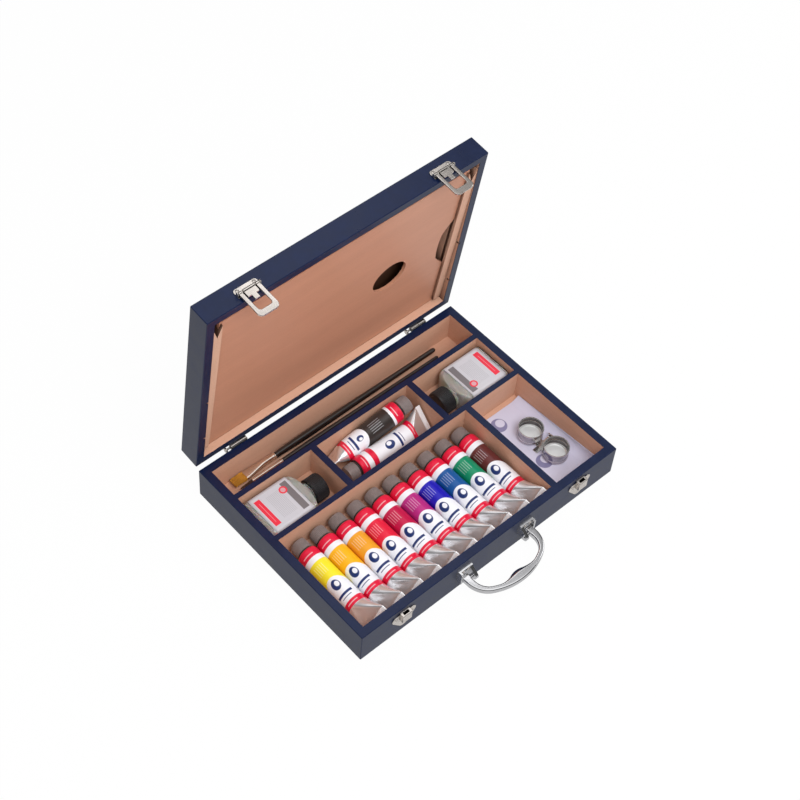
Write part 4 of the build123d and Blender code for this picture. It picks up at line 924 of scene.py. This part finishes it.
def tube_print(name, look, paint, style):
    """Printing on a tube: u goes round it, v along it from the crimp to the neck."""
    finish = Finish(name, Specular_IOR_Level=0.5)
    u, v = finish.wrap()
    at, angle = v * 1000.0, u * (2 * pi)
    front, side = angle.cosine(), angle.sine() * 13.0
    facing = front > 0.0

    def above(edge, blur=0.25):
        return finish.ramp(at - edge, -blur, blur)

    def bar(low, high, half):
        return above(low) * (1.0 - above(high)) * ((abs(side) < half) * facing)

    base = finish.mix(above(style.foot), look.band, look.label)
    if style.arch:
        edge, bulge = style.arch
        base = finish.mix(above(edge + front * bulge), base, paint)
    for start, ground in style.grounds:
        base = finish.mix(above(start), base, getattr(look, ground))
    dx, dy = side / style.size, (at - style.dot) / (style.size * 1.25)
    dot = finish.ramp(apart(dx, dy), 1.05, 0.95) * facing
    dot = dot * finish.ramp(apart(dx - 0.34, dy - 0.08), 0.46, 0.56)
    base = finish.mix(dot, base, look.ink)
    for low, high, half in ((-1.5, 1.5, 9.5), (-4.9, -4.0, 6.5)):
        base = finish.mix(bar(style.bar + low, style.bar + high, half), base, look.ink)
    for middle in style.plain:
        base = finish.mix(bar(middle - 0.6, middle + 0.6, 7.0) * 0.5, base, look.label)
    if style.text:
        lines = (side * 0.36).fract() > 0.72
        base = finish.mix(lines * bar(*style.text, 7.0) * 0.3, base, look.label)
    printed = above(style.foil, 0.15)
    where = finish.position()
    smear = finish.noise(where, 180.0, 4.0, 0.6)
    foil = finish.mix(smear, (0.95, 0.95, 0.98), (0.88, 0.88, 0.91))
    folded = finish.ramp(at, 6.6, 5.8)
    finish.set("Base Color", finish.mix(printed, foil, base))
    finish.set("Metallic", (1.0 - printed) * finish.blend(folded, 0.82, 0.25))
    finish.set("Roughness", finish.blend(printed, finish.blend(smear, 0.24, 0.34), 0.3))
    finish.bump(finish.noise(where, 110.0, 2.0, 0.5), 0.7, 0.14)
    return finish.material


def tube_body(name, look, long, tilt, crimp, place, materials, spin, wrinkle):
    """A tube: crimp folded flat, a tail that opens to a round barrel, a shoulder and a neck."""
    radius, tail = look.radius / MM, look.tail / MM
    around, steps, fold_end, thin = 72, 26, 6.0, 0.9
    wide = pi * radius / 2
    cap_start = long / MM - 15.0
    shoulder = cap_start - 0.8
    # Each station: height, half the flat, radius at the flat's ends, share of the crimp
    stations = [(z, wide - half, half, 1.0) for z, half in (
        (0.0, 0.55), (0.25, 0.85), (1.6, 0.9), (1.9, 0.72), (2.2, 0.9), (3.6, 0.9),
        (3.9, 0.72), (4.2, 0.9), (5.7, 0.9), (fold_end, 0.8))]
    for i in range(1, steps + 1):
        t = i / steps
        fill = 0.7 * t + 0.3 * sin(t * pi / 2)
        stations.append((fold_end + (tail - fold_end) * t, (wide - thin) * (1 - fill),
                         thin + (radius - thin) * fill, 1 - t))
    stations += [(z, 0.0, radius, 0.0)
                 for z in (tail + 20, tail + 45, shoulder - 4.6, shoulder - 3.6)]
    stations += [(shoulder - 3.6 + 3.3 * sin(a), 0.0, radius - 1.6 + 1.6 * cos(a), 0.0)
                 for a in arc(6, 1)]
    stations += [(z, 0.0, r, 0.0) for z, r in (
        (shoulder, 10.4), (shoulder + 0.05, 9.6), (cap_start + 1.5, 9.6),
        (cap_start + 1.55, 9.2), (cap_start + 1.6, 5.5))]
    stations.sort(key=lambda station: station[0])
    turn = Matrix.Rotation(radians(tilt), 3, "Z")
    rings = []
    for z, flat, round_, far in stations:
        ring = []
        for j in range(around):
            x, y = on_stadium(flat, round_, j / around)
            if 0.02 < far < 0.98:
                a = 2 * pi * j / around
                dip = max(0.0, 1 - (x / (flat + 0.5)) ** 2) * sin(pi * far)
                fold = sin(3 * a + 1.3 + wrinkle * 1.9) * sin(pi * far) ** 2
                fold += 0.6 * sin(5 * a + wrinkle + z * 0.35) * sin(pi * far)
                x, y = x * (1 + 0.01 * fold), y * (1 - 0.1 * dip + 0.025 * fold)
            p = turn @ Vector((x, y, 0)) + Vector((crimp[0] * far, crimp[1] * far, z))
            ring.append(place @ (p * MM))
        rings.append(ring)
    neck = 5
    slots = [0] * (len(stations) - 1 - neck) + [1] * neck + [0, 1]
    return loft(name, rings, materials, CREASE, slots, [s[0] * MM for s in stations],
                (90.0 - tilt - spin) / 360.0)


def on_stadium(flat, round_, part):
    """Point of a flattened ring, a share of its length from the tip on its right."""
    quarter, side = pi / 2 * round_, 2 * flat
    along = part * (4 * quarter + 2 * side)
    for span, first, centre in (
            (quarter, 0.0, flat), (side, None, 1), (2 * quarter, pi / 2, -flat),
            (side, None, -1), (quarter, 1.5 * pi, flat)):
        if along <= span + 1e-9:
            if first is None:
                return centre * (flat - along), centre * round_
            a = first + along / round_
            return centre + round_ * cos(a), round_ * sin(a)
        along -= span
    return flat + round_, 0.0


class PAINTBOX_OT_tubes(bpy.types.Operator):
    """Make the paint tubes with their crimps, printing and ribbed caps"""
    bl_idname = "paintbox.tubes"
    bl_label = "Paint tubes"

    def execute(self, context):
        look = context.scene.paint_box.tubes
        recipe = ribbed_cap_recipe()
        cap_plastic = plastic("tube_cap", look.cap, 0.42)
        # The top of the shoulder and the neck are coloured near black.
        ring = plastic("tube_neck_ring", (0.03, 0.026, 0.024), 0.4)
        hues = ((0.86, 0.74, 0.025), (0.92, 0.44, 0.008), (0.80, 0.34, 0.02),
                (0.72, 0.012, 0.045), (0.50, 0.006, 0.06), (0.44, 0.02, 0.20),
                (0.012, 0.008, 0.42), (0.008, 0.085, 0.30), (0.004, 0.24, 0.115),
                (0.115, 0.022, 0.022))
        radius = look.radius / MM
        axis_z, cap_high = BAY_Z + look.radius, 13.6 * MM

        def tube(node, style, hue, long, place, tilt, spin, number, aside=0.0, rest=radius):
            """Body and cap of one tube; rest is how high the axis is above what it lies on."""
            up = pi * radius / 2 * abs(sin(radians(tilt))) + 0.9 - rest
            printing = tube_print(node.replace("tube", "tube_print"), look, hue, STYLES[style])
            body = tube_body(f"{node}_body", look, long, tilt, (aside, up), place,
                             [printing, ring], spin, number)
            cap = recipe.grow(f"{node}_cap", point_mesh(f"{node}_cap_at", [(0, 0, 0)]),
                              Radius=10.4 * MM, Length=cap_high, Rib_Count=40,
                              Rib_Depth=0.3 * MM, Rib_Length=11.0 * MM, Ease=0.9 * MM,
                              Material=cap_plastic)
            cap.data.transform(place @ Matrix.Translation((0, 0, long - cap_high))
                               @ Matrix.Rotation(number * 0.37, 4, "Z"))
            for piece in (body, cap):
                stand_for(piece, node)
            return cap

        for i, hue in enumerate(hues):
            x = (82.8 - (len(hues) - 1 - i) * 27.0) * MM
            cap = tube(f"tube_{i + 1:02d}", "row", hue, look.row_length,
                       lying((x, FRONT_Y + 13.5 * MM, axis_z), (0, 1, 0)),
                       -52.0, 28.0 + 6.0 * sin(i * 2.3), i)
        short, far_y = look.short_length, REAR_BAY_Y[1] - 0.3 * MM
        white_tail = (INNER_X - 106.0 * MM - DIVIDER - 2.5 * MM,
                      far_y - 3 * look.radius - 0.5 * MM, axis_z)
        tube("tube_white", "white", (0.82, 0.82, 0.80), short, lying(white_tail, (-1, 0, 0)),
             135.0, 20.0, 3)
        rise, low = 24.6 * MM, 9.5
        run = short * cos(atan2(rise, short))
        black_tail = (-INNER_X + 106.5 * MM + DIVIDER + 6.0 * MM, far_y - look.radius,
                      BAY_Z + low * MM)
        ahead = (run, -2.5 * MM * run / short, rise)
        tube("tube_black", "black", (0.035, 0.028, 0.026), short, lying(black_tail, ahead),
             130.0, -20.0, 5, -2.0, low)
        return {"FINISHED"}


def rounded_ring(half_x, half_y, corner, z, steps=10):
    """A rounded rectangle as a ring of points."""
    corner = min(corner, half_x, half_y)
    ring = []
    for quarter, (sx, sy) in enumerate(((1, 1), (-1, 1), (-1, -1), (1, -1))):
        for a in arc(steps):
            a += quarter * pi / 2
            ring.append(Vector((sx * (half_x - corner) + corner * cos(a),
                                sy * (half_y - corner) + corner * sin(a), z)))
    return ring


def bottle_rings(look, shrink, neck):
    """Sections of a flat bottle from its foot to its neck, in mm."""
    hx, hy, body = look.width / 2 / MM - shrink, look.thick / 2 / MM - shrink, look.body / MM
    foot, corner, collar = 2.0, 7.0 - shrink, 14.5 - shrink - 0.6
    straight, shoulder = body - 1.0, 10.5
    rings = []
    for a in arc(4):
        inset = foot * (1 - sin(a))
        rings.append(rounded_ring(hx - inset, hy - inset, corner, shrink + foot * (1 - cos(a))))
    rings.append(rounded_ring(hx, hy, corner, straight))
    for a in arc(10, 1):
        ease = 1 - cos(a)
        rings.append(rounded_ring(hx + (collar - hx) * ease, hy + (collar - hy) * ease,
                                  corner + (collar - corner) * ease,
                                  straight + shoulder * sin(a)))
    return rings + [rounded_ring(r, r, r, z) for z, r in neck]


class PAINTBOX_OT_bottles(bpy.types.Operator):
    """Make the glass bottles with their medium, labels and caps"""
    bl_idname = "paintbox.bottles"
    bl_label = "Bottles"

    def execute(self, context):
        look = context.scene.paint_box.bottles
        recipe = ribbed_cap_recipe()
        cap_plastic = plastic("bottle_cap_plastic", look.cap, 0.34)
        glass = Finish("bottle_glass_clear", Base_Color=(0.96, 0.98, 0.97), Roughness=0.03,
                       IOR=1.48, Transmission_Weight=1.0)
        medium = Finish("bottle_medium", IOR=1.36, Roughness=0.12, Subsurface_Weight=0.25,
                        Subsurface_Scale=0.01)
        cloud = medium.ramp(medium.noise(medium.position(), 45.0, 3.0, 0.5), 0.3, 0.75)
        cloudy = tuple(c * k for c, k in zip(look.liquid, (0.9, 0.88, 0.83)))
        medium.set("Base Color", medium.mix(cloud, look.liquid, cloudy))
        outside = bottle_rings(look, 0.0, (
            (69.6, 14.2), (70.1, 14.5), (71.0, 13.9), (71.5, 14.4), (72.2, 14.4), (72.7, 13.7),
            (73.0, 11.0), (85.5, 11.0), (87.5, 10.5)))
        inside = bottle_rings(look, look.wall / MM, ((70.5, 12.6), (73.0, 9.6), (84.0, 9.5)))
        cap_at = look.body + (9.5 + 4.5) * MM
        for side, name, gap in ((-1, "bottle_left", 4.0), (1, "bottle_right", 1.7)):
            place = lying((side * (INNER_X - gap * MM), sum(REAR_BAY_Y) / 2,
                           BAY_Z + look.thick / 2), (-side, 0, 0))
            shell, fill = (
                loft(f"{name}_{what}", [[place @ (p * MM) for p in ring] for ring in rings],
                     [finish.material], 40.0, wrapped=False)
                for what, rings, finish in (("glass", outside, glass),
                                            ("medium", inside, medium)))
            label = bottle_label(f"{name}_label", look, place)
            for piece in (shell, fill, label):
                stand_for(piece, name)
            cap = recipe.grow(f"{name}_ribbed_cap", point_mesh(name + "_cap_at", [(0, 0, 0)]),
                              Radius=16.0 * MM, Length=18.5 * MM, Rib_Count=60,
                              Rib_Depth=0.4 * MM, Rib_Length=15.5 * MM, Ease=1.2 * MM,
                              Material=cap_plastic)
            cap.data.transform(place @ Matrix.Translation((0, 0, cap_at)))
            stand_for(cap, name + "_cap")
        return {"FINISHED"}


def bottle_label(name, look, place):
    """A paper label that wraps the upper face of a bottle, with plain bars."""
    low, high, rows = 4.5, 58.6, 12
    hx, hy, corner, proud = look.width / 2 / MM, look.thick / 2 / MM, 7.0, 0.12
    bends = [radians(52.0) * (1 - k / 6) for k in range(7)]
    line = mirrored([(hx - corner + (corner + proud) * sin(a),
                      hy - corner + (corner + proud) * cos(a)) for a in bends])
    lengths = [0.0]
    for a, b in zip(line, line[1:]):
        lengths.append(lengths[-1] + (Vector(b) - Vector(a)).length)
    us = [(u - lengths[-1] / 2) * MM for u in lengths]
    vs = [(low + (high - low) * i / rows) * MM for i in range(rows + 1)]
    points = [place @ Vector((x * MM, y * MM, v)) for v in vs for x, y in line]
    count = len(line)
    faces, wraps = [], []
    for i in range(rows):
        for j in range(count - 1):
            a = i * count + j
            faces.append((a, a + 1, a + count + 1, a + count))
            wraps.append(((us[j], vs[i]), (us[j + 1], vs[i]), (us[j + 1], vs[i + 1]),
                          (us[j], vs[i + 1])))
    finish = Finish(name + "_print", Roughness=0.42)
    u, v = (c * 1000.0 for c in finish.wrap())

    def box(*bounds):
        return finish.patch(u, v, bounds, 0.15)

    where, paper, red, grey = finish.position(), look.label, look.red, look.grey
    base = finish.mix(finish.noise(where, 500.0, 2.0), paper, tinted(paper, 0.95))
    lines = (v * 0.5).fract() > 0.72
    seal = apart(u + 13.0, v - 45.5)
    for mask, tone in ((lines * box(-17.0, 17.0, 22.0, 42.0) * 0.35, grey),
                       (box(-22.0, 22.0, 47.0, 55.5), grey),
                       (box(-20.0, 20.0, 8.5, 16.5), red),
                       (box(-15.0, 15.0, 12.2, 12.8) * 0.5, paper),
                       (finish.ramp(seal, 5.2, 4.8), red),
                       (finish.ramp(seal, 3.3, 2.9) * 0.6, paper)):
        base = finish.mix(mask, base, tone)
    finish.set("Base Color", base)
    finish.bump(finish.noise(where, 1500.0, 2.0), 0.02, 0.2)
    thing = put_mesh(name, points, faces, [finish.material], wraps)
    solid = thing.modifiers.new("Paper", "SOLIDIFY")
    solid.thickness, solid.offset = 0.08 * MM, -1.0
    return thing


class PAINTBOX_OT_brushes(bpy.types.Operator):
    """Make the two brushes from hair to handle"""
    bl_idname = "paintbox.brushes"
    bl_label = "Brushes"

    def execute(self, context):
        look = context.scene.paint_box.brushes
        recipe = hair_recipe()
        ferrule_metal = metal("ferrule_nickel", (0.88, 0.79, 0.70), 0.2, hollow_shade=1.0)
        hair_long, ferrule_long = 18.0, 45.0
        for kind, y, start, long, radius, flat in (
                ("flat_brush", 121.5, -162.0, 321.0, 5.0, True),
                ("round_brush", 111.0, -159.0, 314.0, 3.6, False)):

            def at(past, direction):
                return lying(((start + past) * MM, y * MM, BAY_Z + radius * MM),
                             (direction, 0, 0))

            lacquer = Finish(f"{kind}_lacquer", Coat_Weight=1.0, Coat_Roughness=0.06)
            rub = lacquer.noise(lacquer.scaled(lacquer.position(), (0.1, 1.0, 1.0)), 300.0, 3.0)
            lacquer.set("Base Color", lacquer.mix(lacquer.ramp(rub, 0.35, 0.8), look.lacquer,
                                                  tinted(look.lacquer, 1.8, 0.002)))
            lacquer.set("Roughness", lacquer.blend(rub, 0.22, 0.4))
            wood_long = long - hair_long - ferrule_long
            handle = turned(f"{kind}_handle_turned", handle_profile(wood_long, radius), 40,
                            at(hair_long + ferrule_long, 1), [lacquer.material], CREASE)
            sleeve = ferrule_sleeve(f"{kind}_ferrule_drawn", radius, flat,
                                    at(hair_long + ferrule_long, -1), ferrule_metal)
            tone = look.flat_hair if flat else look.round_hair
            coat = Finish(f"{kind}_hair", Specular_IOR_Level=0.4, Sheen_Weight=0.2)
            strands = coat.noise(coat.scaled(coat.position(), (60.0, 2200.0, 2200.0)), 1.0, 2.0)
            coat.set("Base Color", coat.mix(coat.ramp(strands, 0.3, 0.7), tinted(tone, 0.55),
                                            tone))
            coat.set("Roughness", coat.blend(strands, 0.35, 0.6))
            roots, leans = flat_roots(look.hair_rows) if flat else round_roots()
            seeds = point_mesh(f"{kind}_roots", [Vector(r) * MM for r in roots],
                               Lean=[Vector(v) * MM for v in leans])
            tuft = recipe.grow(f"{kind}_tuft", seeds, 60.0, Hair_Radius=0.13 * MM,
                               Tip_Share=0.35, Seed=11, Material=coat.material)
            tuft.data.transform(at(hair_long, -1))
            for piece, part in ((handle, "handle"), (sleeve, "ferrule"), (tuft, "bristles")):
                stand_for(piece, f"{kind}_{part}")
        return {"FINISHED"}


def handle_profile(long, radius):
    """(radius, height) of a brush handle from the ferrule to its end."""
    neck, belly, end = 0.78 * radius, 0.24 * long, 0.62 * radius
    profile = [(0.0, 0.0), (radius * 0.74, 0.0), (neck, 0.5)]
    profile += [(neck + radius * 0.20 * sin(k / 12 * pi * 0.62), belly * k / 12)
                for k in range(1, 13)]
    top = profile[-1][0]
    for t in (k / 16 for k in range(1, 17)):
        profile.append((top + (end - top) * t ** 0.9, belly + 0.74 * long * t - end * t))
    base = profile[-1][1]
    return profile + [(max(end * cos(a), 0.0), min(base + end * sin(a) * 1.4, long))
                      for a in arc(7, 1)]


def ferrule_sleeve(name, radius, flat, place, material):
    """Drawn metal ferrule: two crimped rings at the handle, round there, flat at the hair."""
    neck, waist, long, around = radius * 0.82, 15.75, 45.0, 48
    mouth_x, mouth_y = (6.4, 2.4) if flat else (2.9, 2.9)
    stations = [(0.0, 0.0), (0.05, 0.1)]
    for z in (0.6 + 0.6 * k for k in range(11)):
        stations.append((z, 0.28 * max(0.0, sin((z - 0.6) / 6.0 * 2 * pi))))
    rings = [oval(neck + ridge, neck + ridge, z, around) for z, ridge in stations]
    rings.append(oval(neck, neck, waist, around))
    for t in (k / 14 for k in range(1, 15)):
        ease = t * t * (3 - 2 * t) * 0.6 + t * 0.4
        rings.append(oval(neck + (mouth_x - neck) * ease, neck + (mouth_y - neck) * ease,
                          waist + (long - waist) * t, around, 2.0 + (1.2 * ease if flat else 0.0)))
    rings += [[Vector((p.x * 0.9, p.y * 0.9, z)) for p in rings[-1]] for z in (long, long - 1.5)]
    return loft(name, [[place @ (p * MM) for p in ring] for ring in rings], [material], 45.0)


def flat_roots(columns):
    """Roots of the flat tuft in its own millimetres, and the lean of each hair."""
    roots, leans, layers = [], [], 11
    for i in range(columns):
        for j in range(layers):
            x = (i + 0.5 - columns / 2) / columns * 12.0 + 0.05 * sin(i * 7.1 + j * 3.3)
            y = (j + 0.5 - layers / 2) / layers * 4.0 + 0.05 * sin(i * 3.7 + j * 5.9)
            reach = 17.9 - 0.55 * abs(sin(i * 12.9 + j * 4.7)) - 0.25 * abs(x) / 6.0
            roots.append((x, y, -0.6))
            leans.append((x * 0.02 + 0.12 * sin(i * 5.3), -y * 0.42, reach + 0.6))
    return roots, leans


def round_roots():
    """Roots of the round tuft and the lean of each hair towards its point."""
    roots, leans = [], []
    golden, total = pi * (3 - sqrt(5)), 260
    for k in range(total):
        r, a = 2.35 * sqrt((k + 0.5) / total), k * golden
        x, y = r * cos(a), r * sin(a)
        roots.append((x, y, -0.6))
        leans.append((-x * 0.72, -y * 0.72, 18.0 - 0.42 * r * r + 0.4))
    return roots, leans


class PAINTBOX_OT_dipper(bpy.types.Operator):
    """Spin the two dipper cups and finish their clip"""
    bl_idname = "paintbox.dipper"
    bl_label = "Dipper"

    def execute(self, context):
        look = context.scene.paint_box.metal
        # Painted light and shade: copies of the one steel, the inner wall darkened, the outside
        # greyed and the floor lightened, stand for how the cups are lit.
        steel = metal("dipper_steel", look.steel, 0.16, tarnish=0.1, hollow_shade=1.0)
        wall = metal("dipper_wall", (0.20, 0.18, 0.18), 0.22, tarnish=0.5, hollow_shade=1.0)
        outside_shade = metal("dipper_outside", (0.50, 0.46, 0.48), 0.2, tarnish=0.4, hollow_shade=1.0)
        floor = metal("dipper_floor", (0.9, 0.9, 0.9), 0.4, tarnish=0.06, plated=0.6, hollow_shade=1.0)
        leaflet, gap = 0.5 * MM, 0.3 * MM
        middle = Vector((OUTER_X - 39.0 * MM, FRONT_Y + 75.5 * MM, BAY_Z + leaflet + gap))
        profile = [(0.0, 1.0), (13.4, 1.0), (14.6, 1.25), (15.2, 1.8), (15.4, 2.6), (15.4, 5.2),
                   (15.2, 5.5), (15.2, 5.9), (15.4, 6.2), (15.4, 15.6), (15.5, 16.3),
                   (15.5, 16.7), (15.3, 17.0), (14.9, 17.0), (14.75, 16.7), (14.7, 16.0),
                   (14.7, 11.4), (14.35, 11.0), (14.3, 10.5), (14.7, 10.0), (14.7, 4.0),
                   (14.3, 3.0), (13.6, 2.3), (12.2, 1.85), (6.0, 1.95), (0.0, 1.95)]
        slots = [0] * 4 + [2] + [0] * 3 + [2] + [0] * 6 + [1] + [0] * 3 + [1] + [3] * 5
        turn = Matrix.Rotation(radians(5.3), 3, "Z")
        for name, side in (("front", -1), ("back", 1)):
            spot = middle + turn @ Vector((0, side * 19.45 * MM, 0))
            cup = turned(f"dipper_cup_{name}", profile, 96, Matrix.Translation(spot),
                         [steel, wall, outside_shade, floor], 40.0, slots + [0, 3])
            stand_for(cup, "dipper_cups")
        softened("dipper_clip", steel, 0.25, segments=3)
        return {"FINISHED"}


class PAINTBOX_OT_leaflet(bpy.types.Operator):
    """Give the leaflet its paper and plain pale print"""
    bl_idname = "paintbox.leaflet"
    bl_label = "Leaflet"

    def execute(self, context):
        look = context.scene.paint_box.paper
        finish = Finish("leaflet_paper", Roughness=0.5, Sheen_Weight=0.1)
        where = finish.position()
        x, y = (c * 1000.0 for c in finish.split(where)[:2])
        base = finish.mix(finish.noise(where, 22.0, 3.0), tinted(look.paper, 0.93),
                          tinted(look.paper, 1.07))
        for bounds, strength in (((113.0, 131.0, -46.0, -43.5), 0.55),
                                 ((113.0, 126.0, -41.5, -40.3), 0.4),
                                 ((113.0, 133.0, -116.0, -113.5), 0.55),
                                 ((113.0, 127.0, -111.5, -110.3), 0.4)):
            base = finish.mix(finish.patch(x, y, bounds, 0.2) * strength, base, look.print)
        for middle_x, middle_y in ((137.0, -11.0), (142.0, -82.0)):
            dx, dy = x - middle_x, y - middle_y
            crescent = (finish.ramp(apart(dx, dy), 10.4, 9.6)
                        * finish.ramp(apart(dx - 3.0, dy - 1.5), 5.4, 6.2))
            base = finish.mix(crescent * 0.85, base, look.print)
        finish.set("Base Color", base)
        finish.bump(finish.noise(where, 1200.0, 2.0), 0.03, 0.2)
        recoat(finish.material, "leaflet")
        return {"FINISHED"}


class PAINTBOX_OT_stage(bpy.types.Operator):
    """Set the floor, the lamps and the camera"""
    bl_idname = "paintbox.stage"
    bl_label = "Stage"

    def execute(self, context):
        look = context.scene.paint_box.stage
        context.scene.view_settings.view_transform = "Standard"
        put_floor(look)
        put_sky(context.scene, look)
        put_lamp("key_lamp", (-0.2, -0.9, 1.7), (0.0, 0.0, 0.05), 1.1, look.key, glossy=False)
        put_lamp("fill_lamp", (1.5, -0.5, 0.9), (0.0, 0.0, 0.1), 1.0, look.fill)
        put_lamp("back_panel", (0.90, 0.96, 1.88), (0.0, -0.1, 0.03), 0.55, look.panel)
        put_camera(context.scene, look.lens)
        return {"FINISHED"}


def put_floor(look):
    """A white floor that stays white to the camera and in reflections."""
    pale = Finish("stage_floor", Roughness=0.9, Specular_IOR_Level=0.1)
    pale.set("Base Color", pale.mix(pale.noise(pale.position(), 2.0, 2.0), look.floor,
                                    tinted(look.floor, 0.985)))
    rays = pale.add("LightPath").outputs
    camera, mirror, through = (Number(pale, rays[f"Is {kind} Ray"])
                               for kind in ("Camera", "Glossy", "Transmission"))
    glow = pale.add("Emission", {"Color": (1.0, 1.0, 1.0),
                                 "Strength": pale.blend(mirror, 1.0, look.floor_mirror)})
    mixer = pale.add("MixShader", {0: camera.most(mirror.most(through)) * 0.97,
                                   1: pale.shader.outputs[0], 2: glow.outputs[0]})
    pale.link(mixer.outputs[0], pale.tree.nodes["Material Output"].inputs["Surface"])
    reach, drop = 6.0, -0.2 * MM
    put_mesh("stage_floor", [(-reach, -reach, drop), (reach, -reach, drop),
                                      (reach, reach, drop), (-reach, reach, drop)],
                      [(0, 1, 2, 3)], [pale.material])


def put_sky(scene, look):
    """White to the camera, even light on the box, and in reflections bright only overhead."""
    world = scene.world = bpy.data.worlds.new("stage_sky")
    world.use_nodes = True
    tree, nodes = Graph(world.node_tree), world.node_tree.nodes
    white = (1.0, 1.0, 1.0)
    up = tree.add("SeparateXYZ", {0: tree.add("TexCoord").outputs["Generated"]}).outputs[2]
    mirrored_sky = (tree.stretch(up, 0.66, 0.80, 0.01, look.sky_mirror)
                    + tree.stretch(up, 0.80, 0.90, 0.0, look.sky_crown))
    rays = tree.add("LightPath").outputs
    sky = nodes["Background"]
    tree.link(white, sky.inputs["Color"])
    tree.link(tree.stretch(rays["Is Glossy Ray"], 0.0, 1.0, look.sky, mirrored_sky),
              sky.inputs["Strength"])
    clear = tree.add("Background", {"Color": white})
    swap = tree.add("MixShader", {0: rays["Is Camera Ray"], 1: sky.outputs[0],
                                  2: clear.outputs[0]})
    tree.link(swap.outputs[0], nodes["World Output"].inputs["Surface"])


def put_lamp(name, place, target, size, power, glossy=True):
    """A square soft lamp that faces a point."""
    light = bpy.data.lights.new(name, "AREA")
    light.shape, light.size, light.energy = "SQUARE", size, power
    holder = bpy.data.objects.new(name, light)
    holder.location = place
    holder.rotation_mode = "QUATERNION"
    holder.rotation_quaternion = (Vector(target) - Vector(place)).to_track_quat("-Z", "Y")
    holder.visible_glossy = glossy
    bpy.context.scene.collection.objects.link(holder)


def put_camera(scene, lens):
    """The photo's camera, fitted to the corners of the box."""
    data = bpy.data.cameras.new("photo_camera")
    camera = scene.camera = bpy.data.objects.new("photo_camera", data)
    scene.collection.objects.link(camera)
    data.lens, data.sensor_width = lens, 36.0
    data.shift_x, data.shift_y = 0.075, -0.075
    data.clip_start, data.clip_end = 0.05, 50.0
    right = Vector((0.75686137, -0.65274613, 0.03291442))
    down = Vector((-0.48645848, -0.59625261, -0.63862428))
    ahead = Vector((0.43648484, 0.46733855, -0.76881446))
    turn = Matrix((right, -down, -ahead)).transposed().to_4x4()
    turn.translation = Vector((-0.85296, -0.78677, 1.64239))
    camera.matrix_world = turn


class PAINTBOX_PT_panel(bpy.types.Panel):
    """Lists the pieces of the paint box"""
    bl_label = "Paint Box"
    bl_idname = "PAINTBOX_PT_panel"
    bl_space_type = "VIEW_3D"
    bl_region_type = "UI"
    bl_category = "Paint Box"

    def draw(self, context):
        settings = context.scene.paint_box
        for operator, group in STEPS:
            column = self.layout.column(align=True)
            column.operator(operator.bl_idname)
            if group:
                part = getattr(settings, group)
                for key in part.__class__.__annotations__:
                    column.prop(part, key)


STEPS = (
    (PAINTBOX_OT_woodwork, "wood"), (PAINTBOX_OT_fittings, "metal"), (PAINTBOX_OT_screws, None),
    (PAINTBOX_OT_handle, None), (PAINTBOX_OT_tubes, "tubes"), (PAINTBOX_OT_bottles, "bottles"),
    (PAINTBOX_OT_brushes, "brushes"), (PAINTBOX_OT_dipper, None), (PAINTBOX_OT_leaflet, "paper"),
    (PAINTBOX_OT_stage, "stage"),
)
GROUPS = (WoodFinish, MetalFinish, TubeLook, BottleLook, BrushLook, PaperLook, StageLook,
          PaintBoxSettings)


def register():
    for group in GROUPS:
        bpy.utils.register_class(group)
    for operator, _ in STEPS:
        bpy.utils.register_class(operator)
    bpy.utils.register_class(PAINTBOX_PT_panel)
    bpy.types.Scene.paint_box = PointerProperty(type=PaintBoxSettings)


def unregister():
    del bpy.types.Scene.paint_box
    bpy.utils.unregister_class(PAINTBOX_PT_panel)
    for operator, _ in reversed(STEPS):
        bpy.utils.unregister_class(operator)
    for group in reversed(GROUPS):
        bpy.utils.unregister_class(group)


def main():
    register()
    for operator, _ in STEPS:
        group, name = operator.bl_idname.split(".")
        getattr(getattr(bpy.ops, group), name)()


if __name__ == "__main__":
    main()
